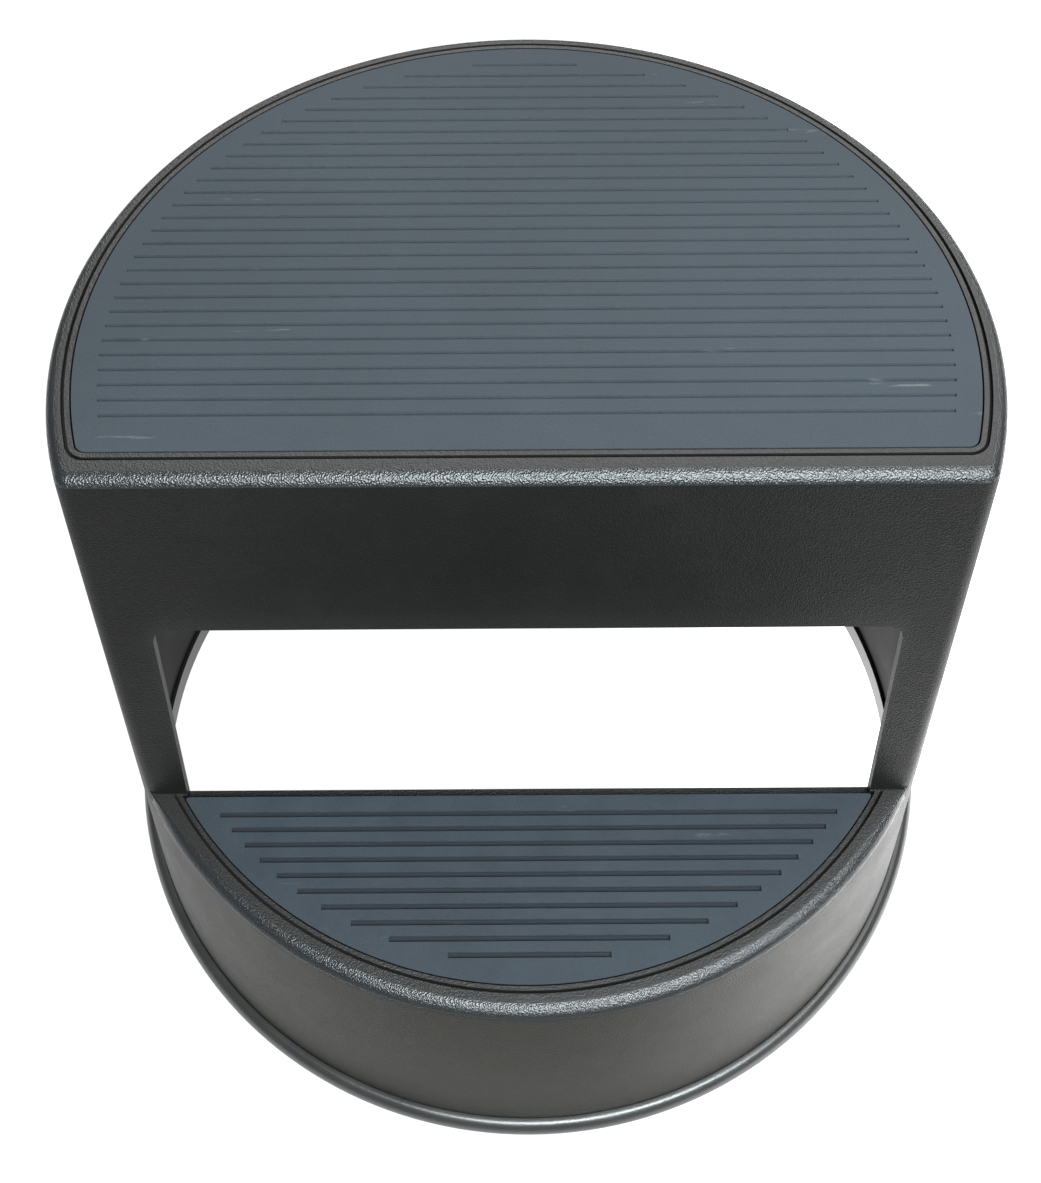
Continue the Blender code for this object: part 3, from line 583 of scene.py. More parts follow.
def plain_polymer(name, dark, light, roughness):
    """Moulded nylon, plastic or rubber, a little paler on its sharp edges."""
    made, tree, shader, spot = surface(name)
    mottled = noise(tree, spot, 120.0, 5.0, 0.6)
    fine = noise(tree, spot, 700.0, 3.0, 0.6)
    tone = ramp(tree, mottled, [(0.30, dark), (0.70, light)])
    edges = edge_share(tree, 0.52, 0.62)
    pale = tuple(min(1.0, 1.8 * c) for c in light)
    tone = mix(tree, maths(tree, "MULTIPLY", edges, 0.4), tone, (*pale, 1.0))
    tree.links.new(tone, shader.inputs["Base Color"])
    rough = ramp(tree, mottled, [(0.30, grey(roughness)), (0.70, grey(roughness + 0.12))])
    tree.links.new(rough, shader.inputs["Roughness"])
    bump(tree, shader, fine, 0.25, 0.00015)
    return made


# ---- body ------------
def wall_radius(z):
    return TOP_RADIUS + DRAFT * (TOP_Z - z)


def riser_y(z):
    slope = (RISER_FOOT_Y - RISER_TOP_Y) / (TOP_Z - DECK_Z)
    return RISER_TOP_Y + slope * (TOP_Z - z)


def arc_points(radius, start, end, steps):
    spots = []
    for i in range(steps + 1):
        angle = math.radians(start + (end - start) * i / steps)
        spots.append((radius * math.cos(angle), radius * math.sin(angle)))
    return spots


def segment_outline(radius, chord_y, corner, above, steps=160):
    """A circle cut by a straight chord, with rounded corners; the arc is above or below it."""
    side = 1.0 if above else -1.0
    height = side * chord_y + corner
    inner = radius - corner
    across = math.sqrt(inner * inner - height * height)
    lean = math.degrees(math.atan2(height, across))
    spots = arc_points(radius, lean, 180.0 - lean, steps)
    for i in range(1, CORNER_STEPS + 1):
        angle = math.radians(180.0 - lean + (90.0 + lean) * i / CORNER_STEPS)
        spots.append((-across + corner * math.cos(angle), height + corner * math.sin(angle)))
    for i in range(CORNER_STEPS):
        angle = math.radians(-90.0 + (90.0 + lean) * i / CORNER_STEPS)
        spots.append((across + corner * math.cos(angle), height + corner * math.sin(angle)))
    return [(x, side * y) for x, y in spots]


def notched_body(name, inset, low_z, high_z, notch_z):
    """The tapering body with its front cut away down to the lower deck."""
    low_radius = wall_radius(low_z) - inset
    high_radius = wall_radius(high_z) - inset
    body = frustum(name, low_radius, high_radius, low_z, high_z, ROUND_STEPS)
    above_z = high_z + 0.05
    profile = [
        (-OUTSET, notch_z),
        (riser_y(notch_z) + inset, notch_z),
        (riser_y(above_z) + inset, above_z),
        (-OUTSET, above_z),
    ]
    notch = outline_solid("notch", [profile], -OUTSET, OUTSET)
    swap_axes(notch, ((0, 0, 1), (1, 0, 0), (0, 1, 0)))
    return cut(body, notch)


def rolled(angle, edge, slope, roll):
    """Distance from the axis of a rolled edge where its surface faces up by this angle.

    edge is where the sharp edge would be, and slope is how fast the wall widens downward.
    """
    middle = edge + slope * roll - roll * math.sqrt(1.0 + slope * slope)
    return middle + roll * math.cos(angle)


def flat_ring(radius, chord_y, corner, z):
    """One level section of the upper body: round behind, straight across the riser."""
    outline = segment_outline(radius, chord_y, corner, True, ARC_STEPS)
    after_left = ARC_STEPS + 1 + CORNER_STEPS
    left = Vector(outline[after_left - 1])
    right = Vector(outline[after_left])
    chord = [tuple(left.lerp(right, i / FRONT_STEPS)) for i in range(1, FRONT_STEPS)]
    outline[after_left:after_left] = chord
    return [(x, y, z) for x, y in outline]


def drum_ring(foot, wall_z, front_radius, front_z):
    """A ring of the round base: the rear follows the wall, the front the lower deck's rim."""
    rear_count = ARC_STEPS + 1
    wall = wall_radius(wall_z)
    spots = []
    for x, y, _ in foot[:rear_count]:
        angle = math.atan2(y, x)
        spots.append((wall * math.cos(angle), wall * math.sin(angle), wall_z))
    lean = math.atan2(foot[0][1], foot[0][0])
    front_count = len(foot) - rear_count + 1
    for i in range(1, front_count):
        angle = math.pi - lean + (math.pi + 2.0 * lean) * i / front_count
        share = min(1.0, i / CORNER_STEPS, (front_count - i) / CORNER_STEPS)
        radius = share * front_radius + (1.0 - share) * wall
        spots.append((radius * math.cos(angle), radius * math.sin(angle),
                      share * front_z + (1.0 - share) * wall_z))
    return spots


def body_rings():
    """Rings from the bottom edge up: round base, rolled lower rim, deck, riser, rolled upper rim."""
    wall_lean = math.atan(DRAFT)
    riser_slope = (RISER_TOP_Y - RISER_FOOT_Y) / (TOP_Z - DECK_Z)
    angles = [wall_lean + (0.5 * math.pi - wall_lean) * i / ROLL_STEPS
              for i in range(ROLL_STEPS + 1)]
    foot = flat_ring(wall_radius(DECK_Z), RISER_FOOT_Y, UPRIGHT_CORNER, DECK_Z)
    rings = [drum_ring(foot, EDGE_Z, wall_radius(EDGE_Z), EDGE_Z)]
    for i, angle in enumerate(angles):
        wall_z = DECK_Z - DECK_ROLL * (1.0 - i / (ROLL_STEPS + 1))
        front_radius = rolled(angle, wall_radius(DECK_Z), DRAFT, DECK_ROLL)
        front_z = DECK_Z - DECK_ROLL * (1.0 - math.sin(angle))
        rings.append(drum_ring(foot, wall_z, front_radius, front_z))
    rings.append(foot)
    roll_z = TOP_Z - ROLL * (1.0 - math.sin(wall_lean))
    for i in range(1, LEVELS + 1):
        z = DECK_Z + (roll_z - DECK_Z) * i / LEVELS
        rings.append(flat_ring(wall_radius(z), riser_y(z), UPRIGHT_CORNER, z))
    for angle in angles[1:]:
        rings.append(flat_ring(rolled(angle, TOP_RADIUS, DRAFT, ROLL),
                               -rolled(angle, -RISER_TOP_Y, riser_slope, ROLL),
                               UPRIGHT_CORNER - ROLL * (1.0 - math.cos(angle)),
                               TOP_Z - ROLL * (1.0 - math.sin(angle))))
    return rings


def loft(name, rings):
    """A closed solid through rings that all have the same number of points."""
    def build(work):
        rows = [[work.verts.new(spot) for spot in ring] for ring in rings]
        for low, high in zip(rows, rows[1:]):
            for i in range(len(low)):
                n = (i + 1) % len(low)
                work.faces.new((low[i], low[n], high[n], high[i]))
        work.faces.new(list(reversed(rows[0])))
        work.faces.new(rows[-1])
    return from_bmesh(name, build)


def cut_tread_beds(body):
    """Sinks the bed of each tread, and the thin line that runs round it."""
    bed = TREAD_THICKNESS + TREAD_BED_GAP
    upper_radius = UPPER_TREAD_RADIUS + TREAD_SIDE_GAP
    upper_y = UPPER_TREAD_FRONT_Y - TREAD_SIDE_GAP
    corner = TREAD_CORNER + TREAD_SIDE_GAP
    outline = segment_outline(upper_radius, upper_y, corner, True)
    cut(body, outline_solid("bed", [outline], TOP_Z - bed, TOP_Z + 0.01))
    inner = BEAD_WIDTH
    outer = BEAD_WIDTH + LINE_WIDTH
    loops = []
    for grow in (outer, inner):
        loops.append(segment_outline(upper_radius + grow, upper_y - grow, corner + grow, True))
    cut(body, outline_solid("line", loops, TOP_Z - LINE_DEPTH, TOP_Z + 0.01))
    lower_radius = LOWER_TREAD_RADIUS + TREAD_SIDE_GAP
    outline = segment_outline(lower_radius, LOWER_RECESS_BACK_Y, 0.0004, False)
    cut(body, outline_solid("bed", [outline], DECK_Z - bed, DECK_Z + 0.01))
    band = []
    for grow, reverse in ((outer, False), (inner, True)):
        radius = lower_radius + grow
        lean = math.degrees(math.asin(-LOWER_RECESS_BACK_Y / radius))
        spots = arc_points(radius, -180.0 + lean, -lean, 160)
        band += spots[::-1] if reverse else spots
    cut(body, outline_solid("line", [band], DECK_Z - LINE_DEPTH, DECK_Z + 0.01))


def cut_riser_opening(body):
    """A wide opening with rounded upper corners, from leg to leg, down to the lower deck."""
    run = OPENING_BOTTOM_HALF - OPENING_TOP_HALF
    lean = math.atan2(run, OPENING_TOP_Z - OPENING_BOTTOM_Z)
    reach = OPENING_CORNER * math.tan(0.25 * math.pi - 0.5 * lean)
    middle_x = OPENING_TOP_HALF - reach
    middle_z = OPENING_TOP_Z - OPENING_CORNER
    corner = []
    for i in range(13):
        angle = lean + (0.5 * math.pi - lean) * i / 12.0
        corner.append((middle_x + OPENING_CORNER * math.cos(angle),
                       middle_z + OPENING_CORNER * math.sin(angle)))
    outline = [(OPENING_BOTTOM_HALF, OPENING_BOTTOM_Z)] + corner
    outline += [(-x, z) for x, z in reversed(outline)]
    cutter = outline_solid("opening", [outline], -OPENING_BACK_Y, -OPENING_FRONT_Y)
    turn(cutter, 90.0, "X")
    cut(body, cutter)


def caster_spot(degrees):
    angle = math.radians(degrees)
    return (CASTER_RADIUS * math.cos(angle), CASTER_RADIUS * math.sin(angle), 0.0)


def screw_spots(degrees):
    centre = caster_spot(degrees)
    spots = []
    for i in range(SCREW_COUNT):
        angle = math.radians(degrees + 60.0 + 360.0 * i / SCREW_COUNT)
        spots.append((centre[0] + SCREW_CIRCLE * math.cos(angle),
                      centre[1] + SCREW_CIRCLE * math.sin(angle)))
    return spots


def add_caster_shelf(body, degrees):
    """A moulded shelf with two gussets, standing in from the wall to carry one caster unit."""
    top_z = SHELF_BOTTOM_Z + SHELF_THICKNESS
    shelf = cylinder("shelf", SHELF_HALF, SHELF_BOTTOM_Z, top_z, 64)
    reach = box("reach", (0.0, -SHELF_HALF, SHELF_BOTTOM_Z), (0.06, SHELF_HALF, top_z))
    combine(shelf, reach, "UNION")
    for side in (-1.0, 1.0):
        outer_y = side * (SHELF_HALF - 0.0008)
        inner_y = outer_y - side * GUSSET_THICKNESS
        profile = [(-0.002, top_z - 0.002), (0.06, top_z - 0.002), (0.06, GUSSET_TOP_Z),
                   (0.026, GUSSET_TOP_Z)]
        gusset = outline_solid("gusset", [profile], min(inner_y, outer_y), max(inner_y, outer_y))
        swap_axes(gusset, ((1, 0, 0), (0, 0, 1), (0, 1, 0)))
        combine(shelf, gusset, "UNION")
    turn(move(shelf, (CASTER_RADIUS, 0.0, 0.0)), degrees, "Z")
    low_z = SHELF_BOTTOM_Z - 0.01
    high_z = GUSSET_TOP_Z + 0.01
    limit = frustum("limit", wall_radius(low_z) - 0.5 * WALL, wall_radius(high_z) - 0.5 * WALL,
                    low_z, high_z, ROUND_STEPS)
    combine(shelf, limit, "INTERSECT")
    combine(body, shelf, "UNION")
    x, y, _ = caster_spot(degrees)
    socket = cylinder("socket", SOCKET_RADIUS, SHELF_BOTTOM_Z - 0.005, top_z + 0.005)
    cut(body, move(socket, (x, y, 0.0)))
    for spot_x, spot_y in screw_spots(degrees):
        hole = cylinder("hole", SCREW_HOLE, SHELF_BOTTOM_Z - 0.005, top_z + 0.005, 16)
        cut(body, move(turn(hole, 5.0, "Z"), (spot_x, spot_y, 0.0)))


def is_inside(face):
    """True for a face on the hollow side of the wall."""
    x, y, z = face.center
    clear = 0.4 * WALL
    if math.hypot(x, y) > wall_radius(z) - clear:
        return False
    in_opening = DECK_Z < z < OPENING_TOP_Z + 0.0002 and abs(x) < OPENING_BOTTOM_HALF
    if in_opening and riser_y(z) + 0.0002 < y < riser_y(z) + 2.0 * WALL:
        return True
    if z > DECK_Z:
        return y > riser_y(z) + clear and z < TOP_Z - 0.6 * PANEL
    return z < DECK_Z - 0.6 * PANEL


def is_line(face):
    """True for a face of the thin lines cut round the treads."""
    x, y, z = face.center
    reach = TREAD_SIDE_GAP + BEAD_WIDTH + LINE_WIDTH + 0.0003
    radius = math.hypot(x, y)
    if TOP_Z - LINE_DEPTH - 0.0002 < z < TOP_Z - 0.0002:
        return radius < UPPER_TREAD_RADIUS + reach and y > UPPER_TREAD_FRONT_Y - reach
    if DECK_Z - LINE_DEPTH - 0.0002 < z < DECK_Z - 0.0002:
        return radius < LOWER_TREAD_RADIUS + reach and y < LOWER_RECESS_BACK_Y + 0.0003
    return False


def look_index(face):
    """Which of body_looks a face of the body takes."""
    # The lines round the treads take the inner plastic, darker than the rims: painted shade in the
    # grooves.
    if is_inside(face) or is_line(face):
        return 1
    # Upward faces take the lighter rim copy, sloping faces the lighter bluer rolled copy and walls
    # the darker copy: painted light and shade by facing.
    if face.normal.z > 0.993:
        return 3
    return 2 if face.normal.z > 0.22 else 0


def build_body(looks):
    body = loft("stool_shell", body_rings())
    hollow = notched_body("hollow", WALL, EDGE_Z - 0.02, TOP_Z - PANEL, DECK_Z - PANEL)
    cut(body, hollow)
    cut_riser_opening(body)
    cut_tread_beds(body)
    for _, degrees in CASTERS:
        add_caster_shelf(body, degrees)
    body.data.materials.clear()
    for look in looks:
        body.data.materials.append(look)
    for face in body.data.polygons:
        face.material_index = look_index(face)
    smooth(body, 28.0)
    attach(body, "stool")
    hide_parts("moulded_body")


# ---- treads ------------
def groove_cutter(y, half, top_z, width, depth):
    """A straight groove with sloping sides and square ends."""
    profile = [(y - 0.5 * width, top_z + 0.001), (y - 0.5 * width, top_z),
               (y - 0.30 * width, top_z - depth), (y + 0.30 * width, top_z - depth),
               (y + 0.5 * width, top_z), (y + 0.5 * width, top_z + 0.001)]
    groove = outline_solid("groove", [profile], -half, half)
    return swap_axes(groove, ((0, 0, 1), (1, 0, 0), (0, 1, 0)))


def build_tread(name, replaced, outline, top_z, radius, rows, width, depth, look):
    tread = outline_solid(name, [outline], top_z - TREAD_THICKNESS, top_z)
    grooves = []
    for y in rows:
        half_square = (radius - RIB_MARGIN) ** 2 - y * y
        if half_square > SHORTEST_GROOVE ** 2:
            grooves.append(groove_cutter(y, math.sqrt(half_square), top_z, width, depth))
    cut(tread, merged("grooves", grooves))
    tread.data.materials.clear()
    tread.data.materials.append(look)
    soften(tread, 0.00018, 30.0)
    smooth(tread, 40.0)
    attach(tread, "stool")
    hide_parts(replaced)


def build_treads():
    look = ribbed_rubber("upper_rubber", (0.0250, 0.0330, 0.0405), (0.0310, 0.0405, 0.0490),
                         TOP_Z, UPPER_GROOVE_SHADE)
    outline = segment_outline(UPPER_TREAD_RADIUS, UPPER_TREAD_FRONT_Y, TREAD_CORNER, True)
    rows = [UPPER_FIRST_RIB_Y + RIB_PITCH * i for i in range(UPPER_RIBS)]
    build_tread("upper_mat", "upper_tread", outline, TOP_Z, UPPER_TREAD_RADIUS, rows,
                UPPER_GROOVE_WIDTH, UPPER_GROOVE_DEPTH, look)
    look = ribbed_rubber("lower_rubber", (0.0255, 0.0340, 0.0425), (0.0340, 0.0440, 0.0540),
                         DECK_Z, LOWER_GROOVE_SHADE)
    outline = segment_outline(LOWER_TREAD_RADIUS, LOWER_TREAD_BACK_Y, 0.0010, False)
    rows = [LOWER_FIRST_RIB_Y - RIB_PITCH * i for i in range(LOWER_RIBS)]
    build_tread("lower_mat", "lower_tread", outline, DECK_Z, LOWER_TREAD_RADIUS, rows,
                LOWER_GROOVE_WIDTH, LOWER_GROOVE_DEPTH, look)


# ---- base ring ------------
def build_base_ring():
    bulge = 0.5 * (RING_TOP_Z - RING_BOTTOM_Z)
    middle_z = RING_BOTTOM_Z + bulge
    profile = [(wall_radius(RING_TOP_Z) + FIT_GAP, RING_TOP_Z - 0.0005)]
    for i in range(15):
        angle = math.radians(70.0 - 140.0 * i / 14.0)
        profile.append((RING_RADIUS - bulge + bulge * math.cos(angle),
                        middle_z + bulge * math.sin(angle)))
    profile.append((RING_RADIUS - bulge, RING_BOTTOM_Z))
    profile.append((RING_INNER_RADIUS + 0.0010, RING_BOTTOM_Z))
    profile.append((RING_INNER_RADIUS, RING_BOTTOM_Z + 0.0010))
    lip_z = RING_TOP_Z - 0.0035
    lip_radius = wall_radius(lip_z) - WALL - FIT_GAP
    profile.append((lip_radius - 0.0018, lip_z))
    profile.append((lip_radius, lip_z))
    slot_z = EDGE_Z - FIT_GAP
    profile.append((wall_radius(slot_z) - WALL - FIT_GAP, slot_z))
    profile.append((wall_radius(slot_z) + FIT_GAP, slot_z))
    ring = lathe("bumper_ring", profile, 0.0, RING_STEPS)
    ring.data.materials.append(ring_vinyl())
    smooth(ring, 30.0)
    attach(ring, "stool")
    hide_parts("base_ring")


# ---- caster units ------------
def finish_piece(item, look, body, replaced, spot, degrees=35.0):
    item.data.materials.clear()
    item.data.materials.append(look)
    smooth(item, degrees)
    item.location = spot
    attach(item, body)
    if replaced:
        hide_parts(*replaced)


def build_housing(side, degrees, looks):
    flange_z = FLANGE_TOP_Z - FLANGE_THICKNESS
    lip_z = HOUSING_BOTTOM_Z + HOUSING_LIP
    ceiling_z = HOUSING_TOP_Z - HOUSING_LID
    profile = [
        (0.0, HOUSING_TOP_Z), (HOUSING_OUTER, HOUSING_TOP_Z), (HOUSING_OUTER, FLANGE_TOP_Z),
        (FLANGE_RADIUS, FLANGE_TOP_Z), (FLANGE_RADIUS, flange_z), (HOUSING_OUTER, flange_z),
        (HOUSING_OUTER, HOUSING_BOTTOM_Z), (HOUSING_MOUTH, HOUSING_BOTTOM_Z),
        (HOUSING_MOUTH, lip_z),
        (HOUSING_INNER, lip_z), (HOUSING_INNER, ceiling_z), (0.0, ceiling_z),
    ]
    rounds = [0, 0.002, 0, 0.0006, 0.0006, 0.0016, 0.0012, 0.0005, 0.0003, 0, 0, 0]
    housing = lathe("caster_tube_" + side, profile, rounds, 64)
    x, y, _ = caster_spot(degrees)
    for spot_x, spot_y in screw_spots(degrees):
        hole = cylinder("hole", SCREW_HOLE, flange_z - 0.003, FLANGE_TOP_Z + 0.003, 20)
        cut(housing, move(turn(hole, 5.0, "Z"), (spot_x - x, spot_y - y, 0.0)))
    finish_piece(housing, looks["plated"], "stool", ["caster_housing_" + side],
                 (x, y, 0.0))


def build_screws(side, degrees, looks):
    """Pan-head screws with a cross recess, seen from below."""
    head_z = FLANGE_TOP_Z - FLANGE_THICKNESS - FIT_GAP
    profile = [
        (0.0, SCREW_TIP_Z), (SCREW_SHANK, SCREW_TIP_Z - 0.0012), (SCREW_SHANK, head_z),
        (SCREW_HEAD, head_z), (SCREW_HEAD, head_z - 0.0010), (0.0018, head_z - 0.0020),
        (0.0, head_z - 0.0020),
    ]
    rounds = [0, 0.0002, 0, 0.0002, 0.0008, 0.0006, 0]
    for number, (x, y) in enumerate(screw_spots(degrees), start=1):
        screw = lathe("flange_screw_%s_%d" % (side, number), profile, rounds, 28)
        for angle in (20.0, 110.0):
            slot = box("slot", (-0.0017, -0.00035, head_z - 0.003),
                       (0.0017, 0.00035, head_z - 0.0011))
            cut(screw, turn(slot, angle + 37.0 * number, "Z"))
        finish_piece(screw, looks["bright"], "stool", ["housing_screw_%s_%d" % (side, number)],
                     (x, y, 0.0))


def build_plunger(side, degrees, looks):
    profile = [
        (COLLAR_RADIUS, SEAT_Z), (COLLAR_RADIUS, COLLAR_BOTTOM_Z),
        (PLUNGER_RADIUS, COLLAR_BOTTOM_Z), (PLUNGER_RADIUS, PLUNGER_BOTTOM_Z),
        (PLUNGER_BORE, PLUNGER_BOTTOM_Z), (PLUNGER_BORE, SEAT_Z),
    ]
    plunger = lathe("plunger_sleeve_" + side, profile, 0.0004, 56)
    finish_piece(plunger, looks["ground"], "plunger_unit_" + side, ["plunger_" + side],
                 caster_spot(degrees))


def build_spring(side, degrees, looks):
    """A coil with closed end turns, swept along its helix."""
    low_z = SEAT_Z + SPRING_WIRE + 0.0002
    high_z = HOUSING_TOP_Z - HOUSING_LID - SPRING_WIRE - 0.0003
    steps = 40 * SPRING_TURNS
    round_steps = 12

    def rise(t):
        """Share of the height at share t of the length: flat end turns, even coils between."""
        closed = 0.8 / SPRING_TURNS
        lift = 2.2 * SPRING_WIRE / (high_z - low_z)
        if t < closed:
            return lift * t / closed
        if t > 1.0 - closed:
            return 1.0 - lift * (1.0 - t) / closed
        return lift + (1.0 - 2.0 * lift) * (t - closed) / (1.0 - 2.0 * closed)

    def spot(i):
        t = i / steps
        angle = 2.0 * math.pi * SPRING_TURNS * t
        return Vector((SPRING_RADIUS * math.cos(angle), SPRING_RADIUS * math.sin(angle),
                       low_z + (high_z - low_z) * rise(t)))

    def build(work):
        rings = []
        for i in range(steps + 1):
            here = spot(i)
            ahead = (spot(min(i + 1, steps)) - spot(max(i - 1, 0))).normalized()
            out = Vector((here.x, here.y, 0.0)).normalized()
            up = ahead.cross(out).normalized()
            ring = []
            for k in range(round_steps):
                angle = 2.0 * math.pi * k / round_steps
                offset = out * math.cos(angle) + up * math.sin(angle)
                ring.append(work.verts.new(here + offset * SPRING_WIRE))
            rings.append(ring)
        for first, second in zip(rings, rings[1:]):
            for k in range(round_steps):
                n = (k + 1) % round_steps
                work.faces.new((first[k], first[n], second[n], second[k]))
        work.faces.new(rings[0])
        work.faces.new(list(reversed(rings[-1])))
    spring = from_bmesh("coil_spring_" + side, build)
    x, y, _ = caster_spot(degrees)
    move(spring, (x, y, 0.0))
    finish_piece(spring, looks["oiled"], "stool", ["spring_" + side], (0.0, 0.0, 0.0))
    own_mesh(spring)


def build_pivot(side, degrees, looks):
    spot = caster_spot(degrees)
    body = "fork_unit_" + side
    head_top = FORK_TOP_Z - FORK_PLATE - FIT_GAP
    clip_z = SEAT_Z + FIT_GAP
    groove_top = clip_z + CLIP_THICKNESS + FIT_GAP
    profile = [
        (0.0, PIN_TOP_Z), (PIN_RADIUS, PIN_TOP_Z), (PIN_RADIUS, groove_top),
        (PIN_NECK, groove_top), (PIN_NECK, SEAT_Z), (PIN_RADIUS, SEAT_Z), (PIN_RADIUS, head_top),
        (PIN_HEAD, head_top), (PIN_HEAD, head_top - 0.0020), (0.0, head_top - 0.0020),
    ]
    rounds = [0, 0.0006, 0, 0, 0, 0, 0, 0.0003, 0.0011, 0]
    pin = lathe("swivel_pin_" + side, profile, rounds, 48)
    finish_piece(pin, looks["bright"], body, ["pivot_pin_" + side], spot)
    inner = PIN_NECK + FIT_GAP
    profile = [(CLIP_RADIUS, clip_z + CLIP_THICKNESS), (CLIP_RADIUS, clip_z), (inner, clip_z),
               (inner, clip_z + CLIP_THICKNESS)]
    clip = lathe("retaining_clip_" + side, profile, 0.0002, 40, 2)
    gap = box("gap", (0.002, -0.0012, clip_z - 0.001), (0.009, 0.0012, clip_z + 0.002))
    cut(clip, gap)
    finish_piece(clip, looks["oiled"], body, ["pivot_clip_" + side], spot)
    low_z = FORK_TOP_Z + FIT_GAP
    inner = PIN_RADIUS + FIT_GAP
    profile = [(WASHER_RADIUS, low_z + WASHER_THICKNESS), (WASHER_RADIUS, low_z),
               (inner, low_z), (inner, low_z + WASHER_THICKNESS)]
    washer = lathe("nylon_washer_" + side, profile, 0.0004, 48, 3)
    finish_piece(washer, looks["nylon"], body, ["thrust_washer_" + side], spot)


def build_fork(side, degrees, looks):
    plate_z = FORK_TOP_Z - FORK_PLATE
    half = 0.5 * FORK_GAP + FORK_LEG
    fork = box("fork", (-half, -FORK_HALF_LENGTH, plate_z), (half, FORK_HALF_LENGTH, FORK_TOP_Z))
    low = []
    for i in range(25):
        angle = math.radians(200.0 + 160.0 * i / 24.0)
        low.append((TRAIL + FORK_LEG_HALF * math.cos(angle),
                    WHEEL_RADIUS + FORK_LEG_HALF * math.sin(angle)))
    outline = [(-FORK_HALF_LENGTH + 0.0010, FORK_TOP_Z - 0.0004),
               (-FORK_HALF_LENGTH + 0.0010, plate_z - 0.004)] + low
    outline += [(FORK_HALF_LENGTH + 0.004, plate_z - 0.004),
                (FORK_HALF_LENGTH - 0.0010, FORK_TOP_Z - 0.0004)]
    for sign in (-1.0, 1.0):
        near = 0.5 * FORK_GAP
        ends = sorted((sign * near, sign * (near + FORK_LEG - 0.0001)))
        leg = outline_solid("leg", [outline], ends[0], ends[1])
        swap_axes(leg, ((0, 0, 1), (1, 0, 0), (0, 1, 0)))
        combine(fork, leg, "UNION")
    cut(fork, cylinder("hole", PIN_RADIUS + FIT_GAP, plate_z - 0.005, FORK_TOP_Z + 0.005))
    axle_hole = turn(cylinder("hole", AXLE_HOLE, -0.03, 0.03, 32), 90.0, "Y")
    cut(fork, move(axle_hole, (0.0, TRAIL, WHEEL_RADIUS)))
    fork.name = "swivel_fork_" + side
    soften(fork, 0.0005, 40.0, 3)
    finish_piece(fork, looks["pressed"], "fork_unit_" + side, ["fork_" + side],
                 caster_spot(degrees))


def build_wheel(side, degrees, looks):
    x, y, _ = caster_spot(degrees)
    centre = (x, y + TRAIL, WHEEL_RADIUS)
    seat = WHEEL_RADIUS - TYRE_DEPTH
    half = 0.5 * WHEEL_WIDTH
    head = 0.5 * FORK_GAP + FORK_LEG + FIT_GAP
    profile = [(WHEEL_RADIUS, half), (WHEEL_RADIUS, -half), (seat, -half), (seat, half)]
    tyre = lathe("tyre_" + side, profile, [0.0030, 0.0030, 0.0004, 0.0004], 72, 6)
    rim = seat - FIT_GAP
    inner = rim - 0.0022
    profile = [
        (HUB_BOSS, HUB_BOSS_HALF), (HUB_BOSS, HUB_WEB_HALF), (inner, HUB_WEB_HALF),
        (inner, half - 0.0008), (rim, half - 0.0008), (rim, 0.0008 - half),
        (inner, 0.0008 - half), (inner, -HUB_WEB_HALF), (HUB_BOSS, -HUB_WEB_HALF),
        (HUB_BOSS, -HUB_BOSS_HALF), (AXLE_HOLE, -HUB_BOSS_HALF), (AXLE_HOLE, HUB_BOSS_HALF),
    ]
    hub = lathe("hub_" + side, profile, 0.0005, 56, 3)
    profile = [
        (0.0, head + 0.0015), (AXLE_HEAD, head + 0.0015), (AXLE_HEAD, head),
        (AXLE_RADIUS, head), (AXLE_RADIUS, -head), (AXLE_HEAD, -head),
        (AXLE_HEAD, -head - 0.0015), (0.0, -head - 0.0015),
    ]
    rounds = [0, 0.0008, 0.0002, 0, 0, 0.0002, 0.0008, 0]
    axle = lathe("axle_pin_" + side, profile, rounds, 36)
    for item, look, body, replaced, slot in (
            (tyre, "tyre", "wheel_" + side, "wheel_tyre_", "tyre"),
            (hub, "hub", "wheel_" + side, "wheel_hub_", "wheel_hub"),
            (axle, "bright", "fork_unit_" + side, "axle_", "pins")):
        turn(item, 90.0, "Y")
        finish_piece(item, looks[look], body, [replaced + side], centre)


def caster_looks():
    return {
        "plated": metal("plated_steel", (0.56, 0.56, 0.55), 0.30, (0.30, 0.29, 0.27)),
        "pressed": metal("pressed_steel", (0.60, 0.60, 0.59), 0.33, (0.33, 0.31, 0.28),
                         (120.0, 120.0, 260.0)),
        "bright": metal("bright_steel", (0.66, 0.66, 0.66), 0.22, (0.36, 0.35, 0.33)),
        "ground": metal("ground_steel", (0.48, 0.49, 0.50), 0.26, (0.24, 0.24, 0.24)),
        "oiled": metal("spring_steel", (0.32, 0.32, 0.33), 0.34, (0.13, 0.11, 0.09),
                       (300.0, 300.0, 300.0)),
        "nylon": plain_polymer("nylon", (0.62, 0.60, 0.52), (0.74, 0.72, 0.64), 0.45),
        "hub": plain_polymer("hub_plastic", (0.13, 0.13, 0.14), (0.20, 0.20, 0.21), 0.42),
        "tyre": plain_polymer("tyre_rubber", (0.020, 0.020, 0.020), (0.035, 0.034, 0.033), 0.62),
    }


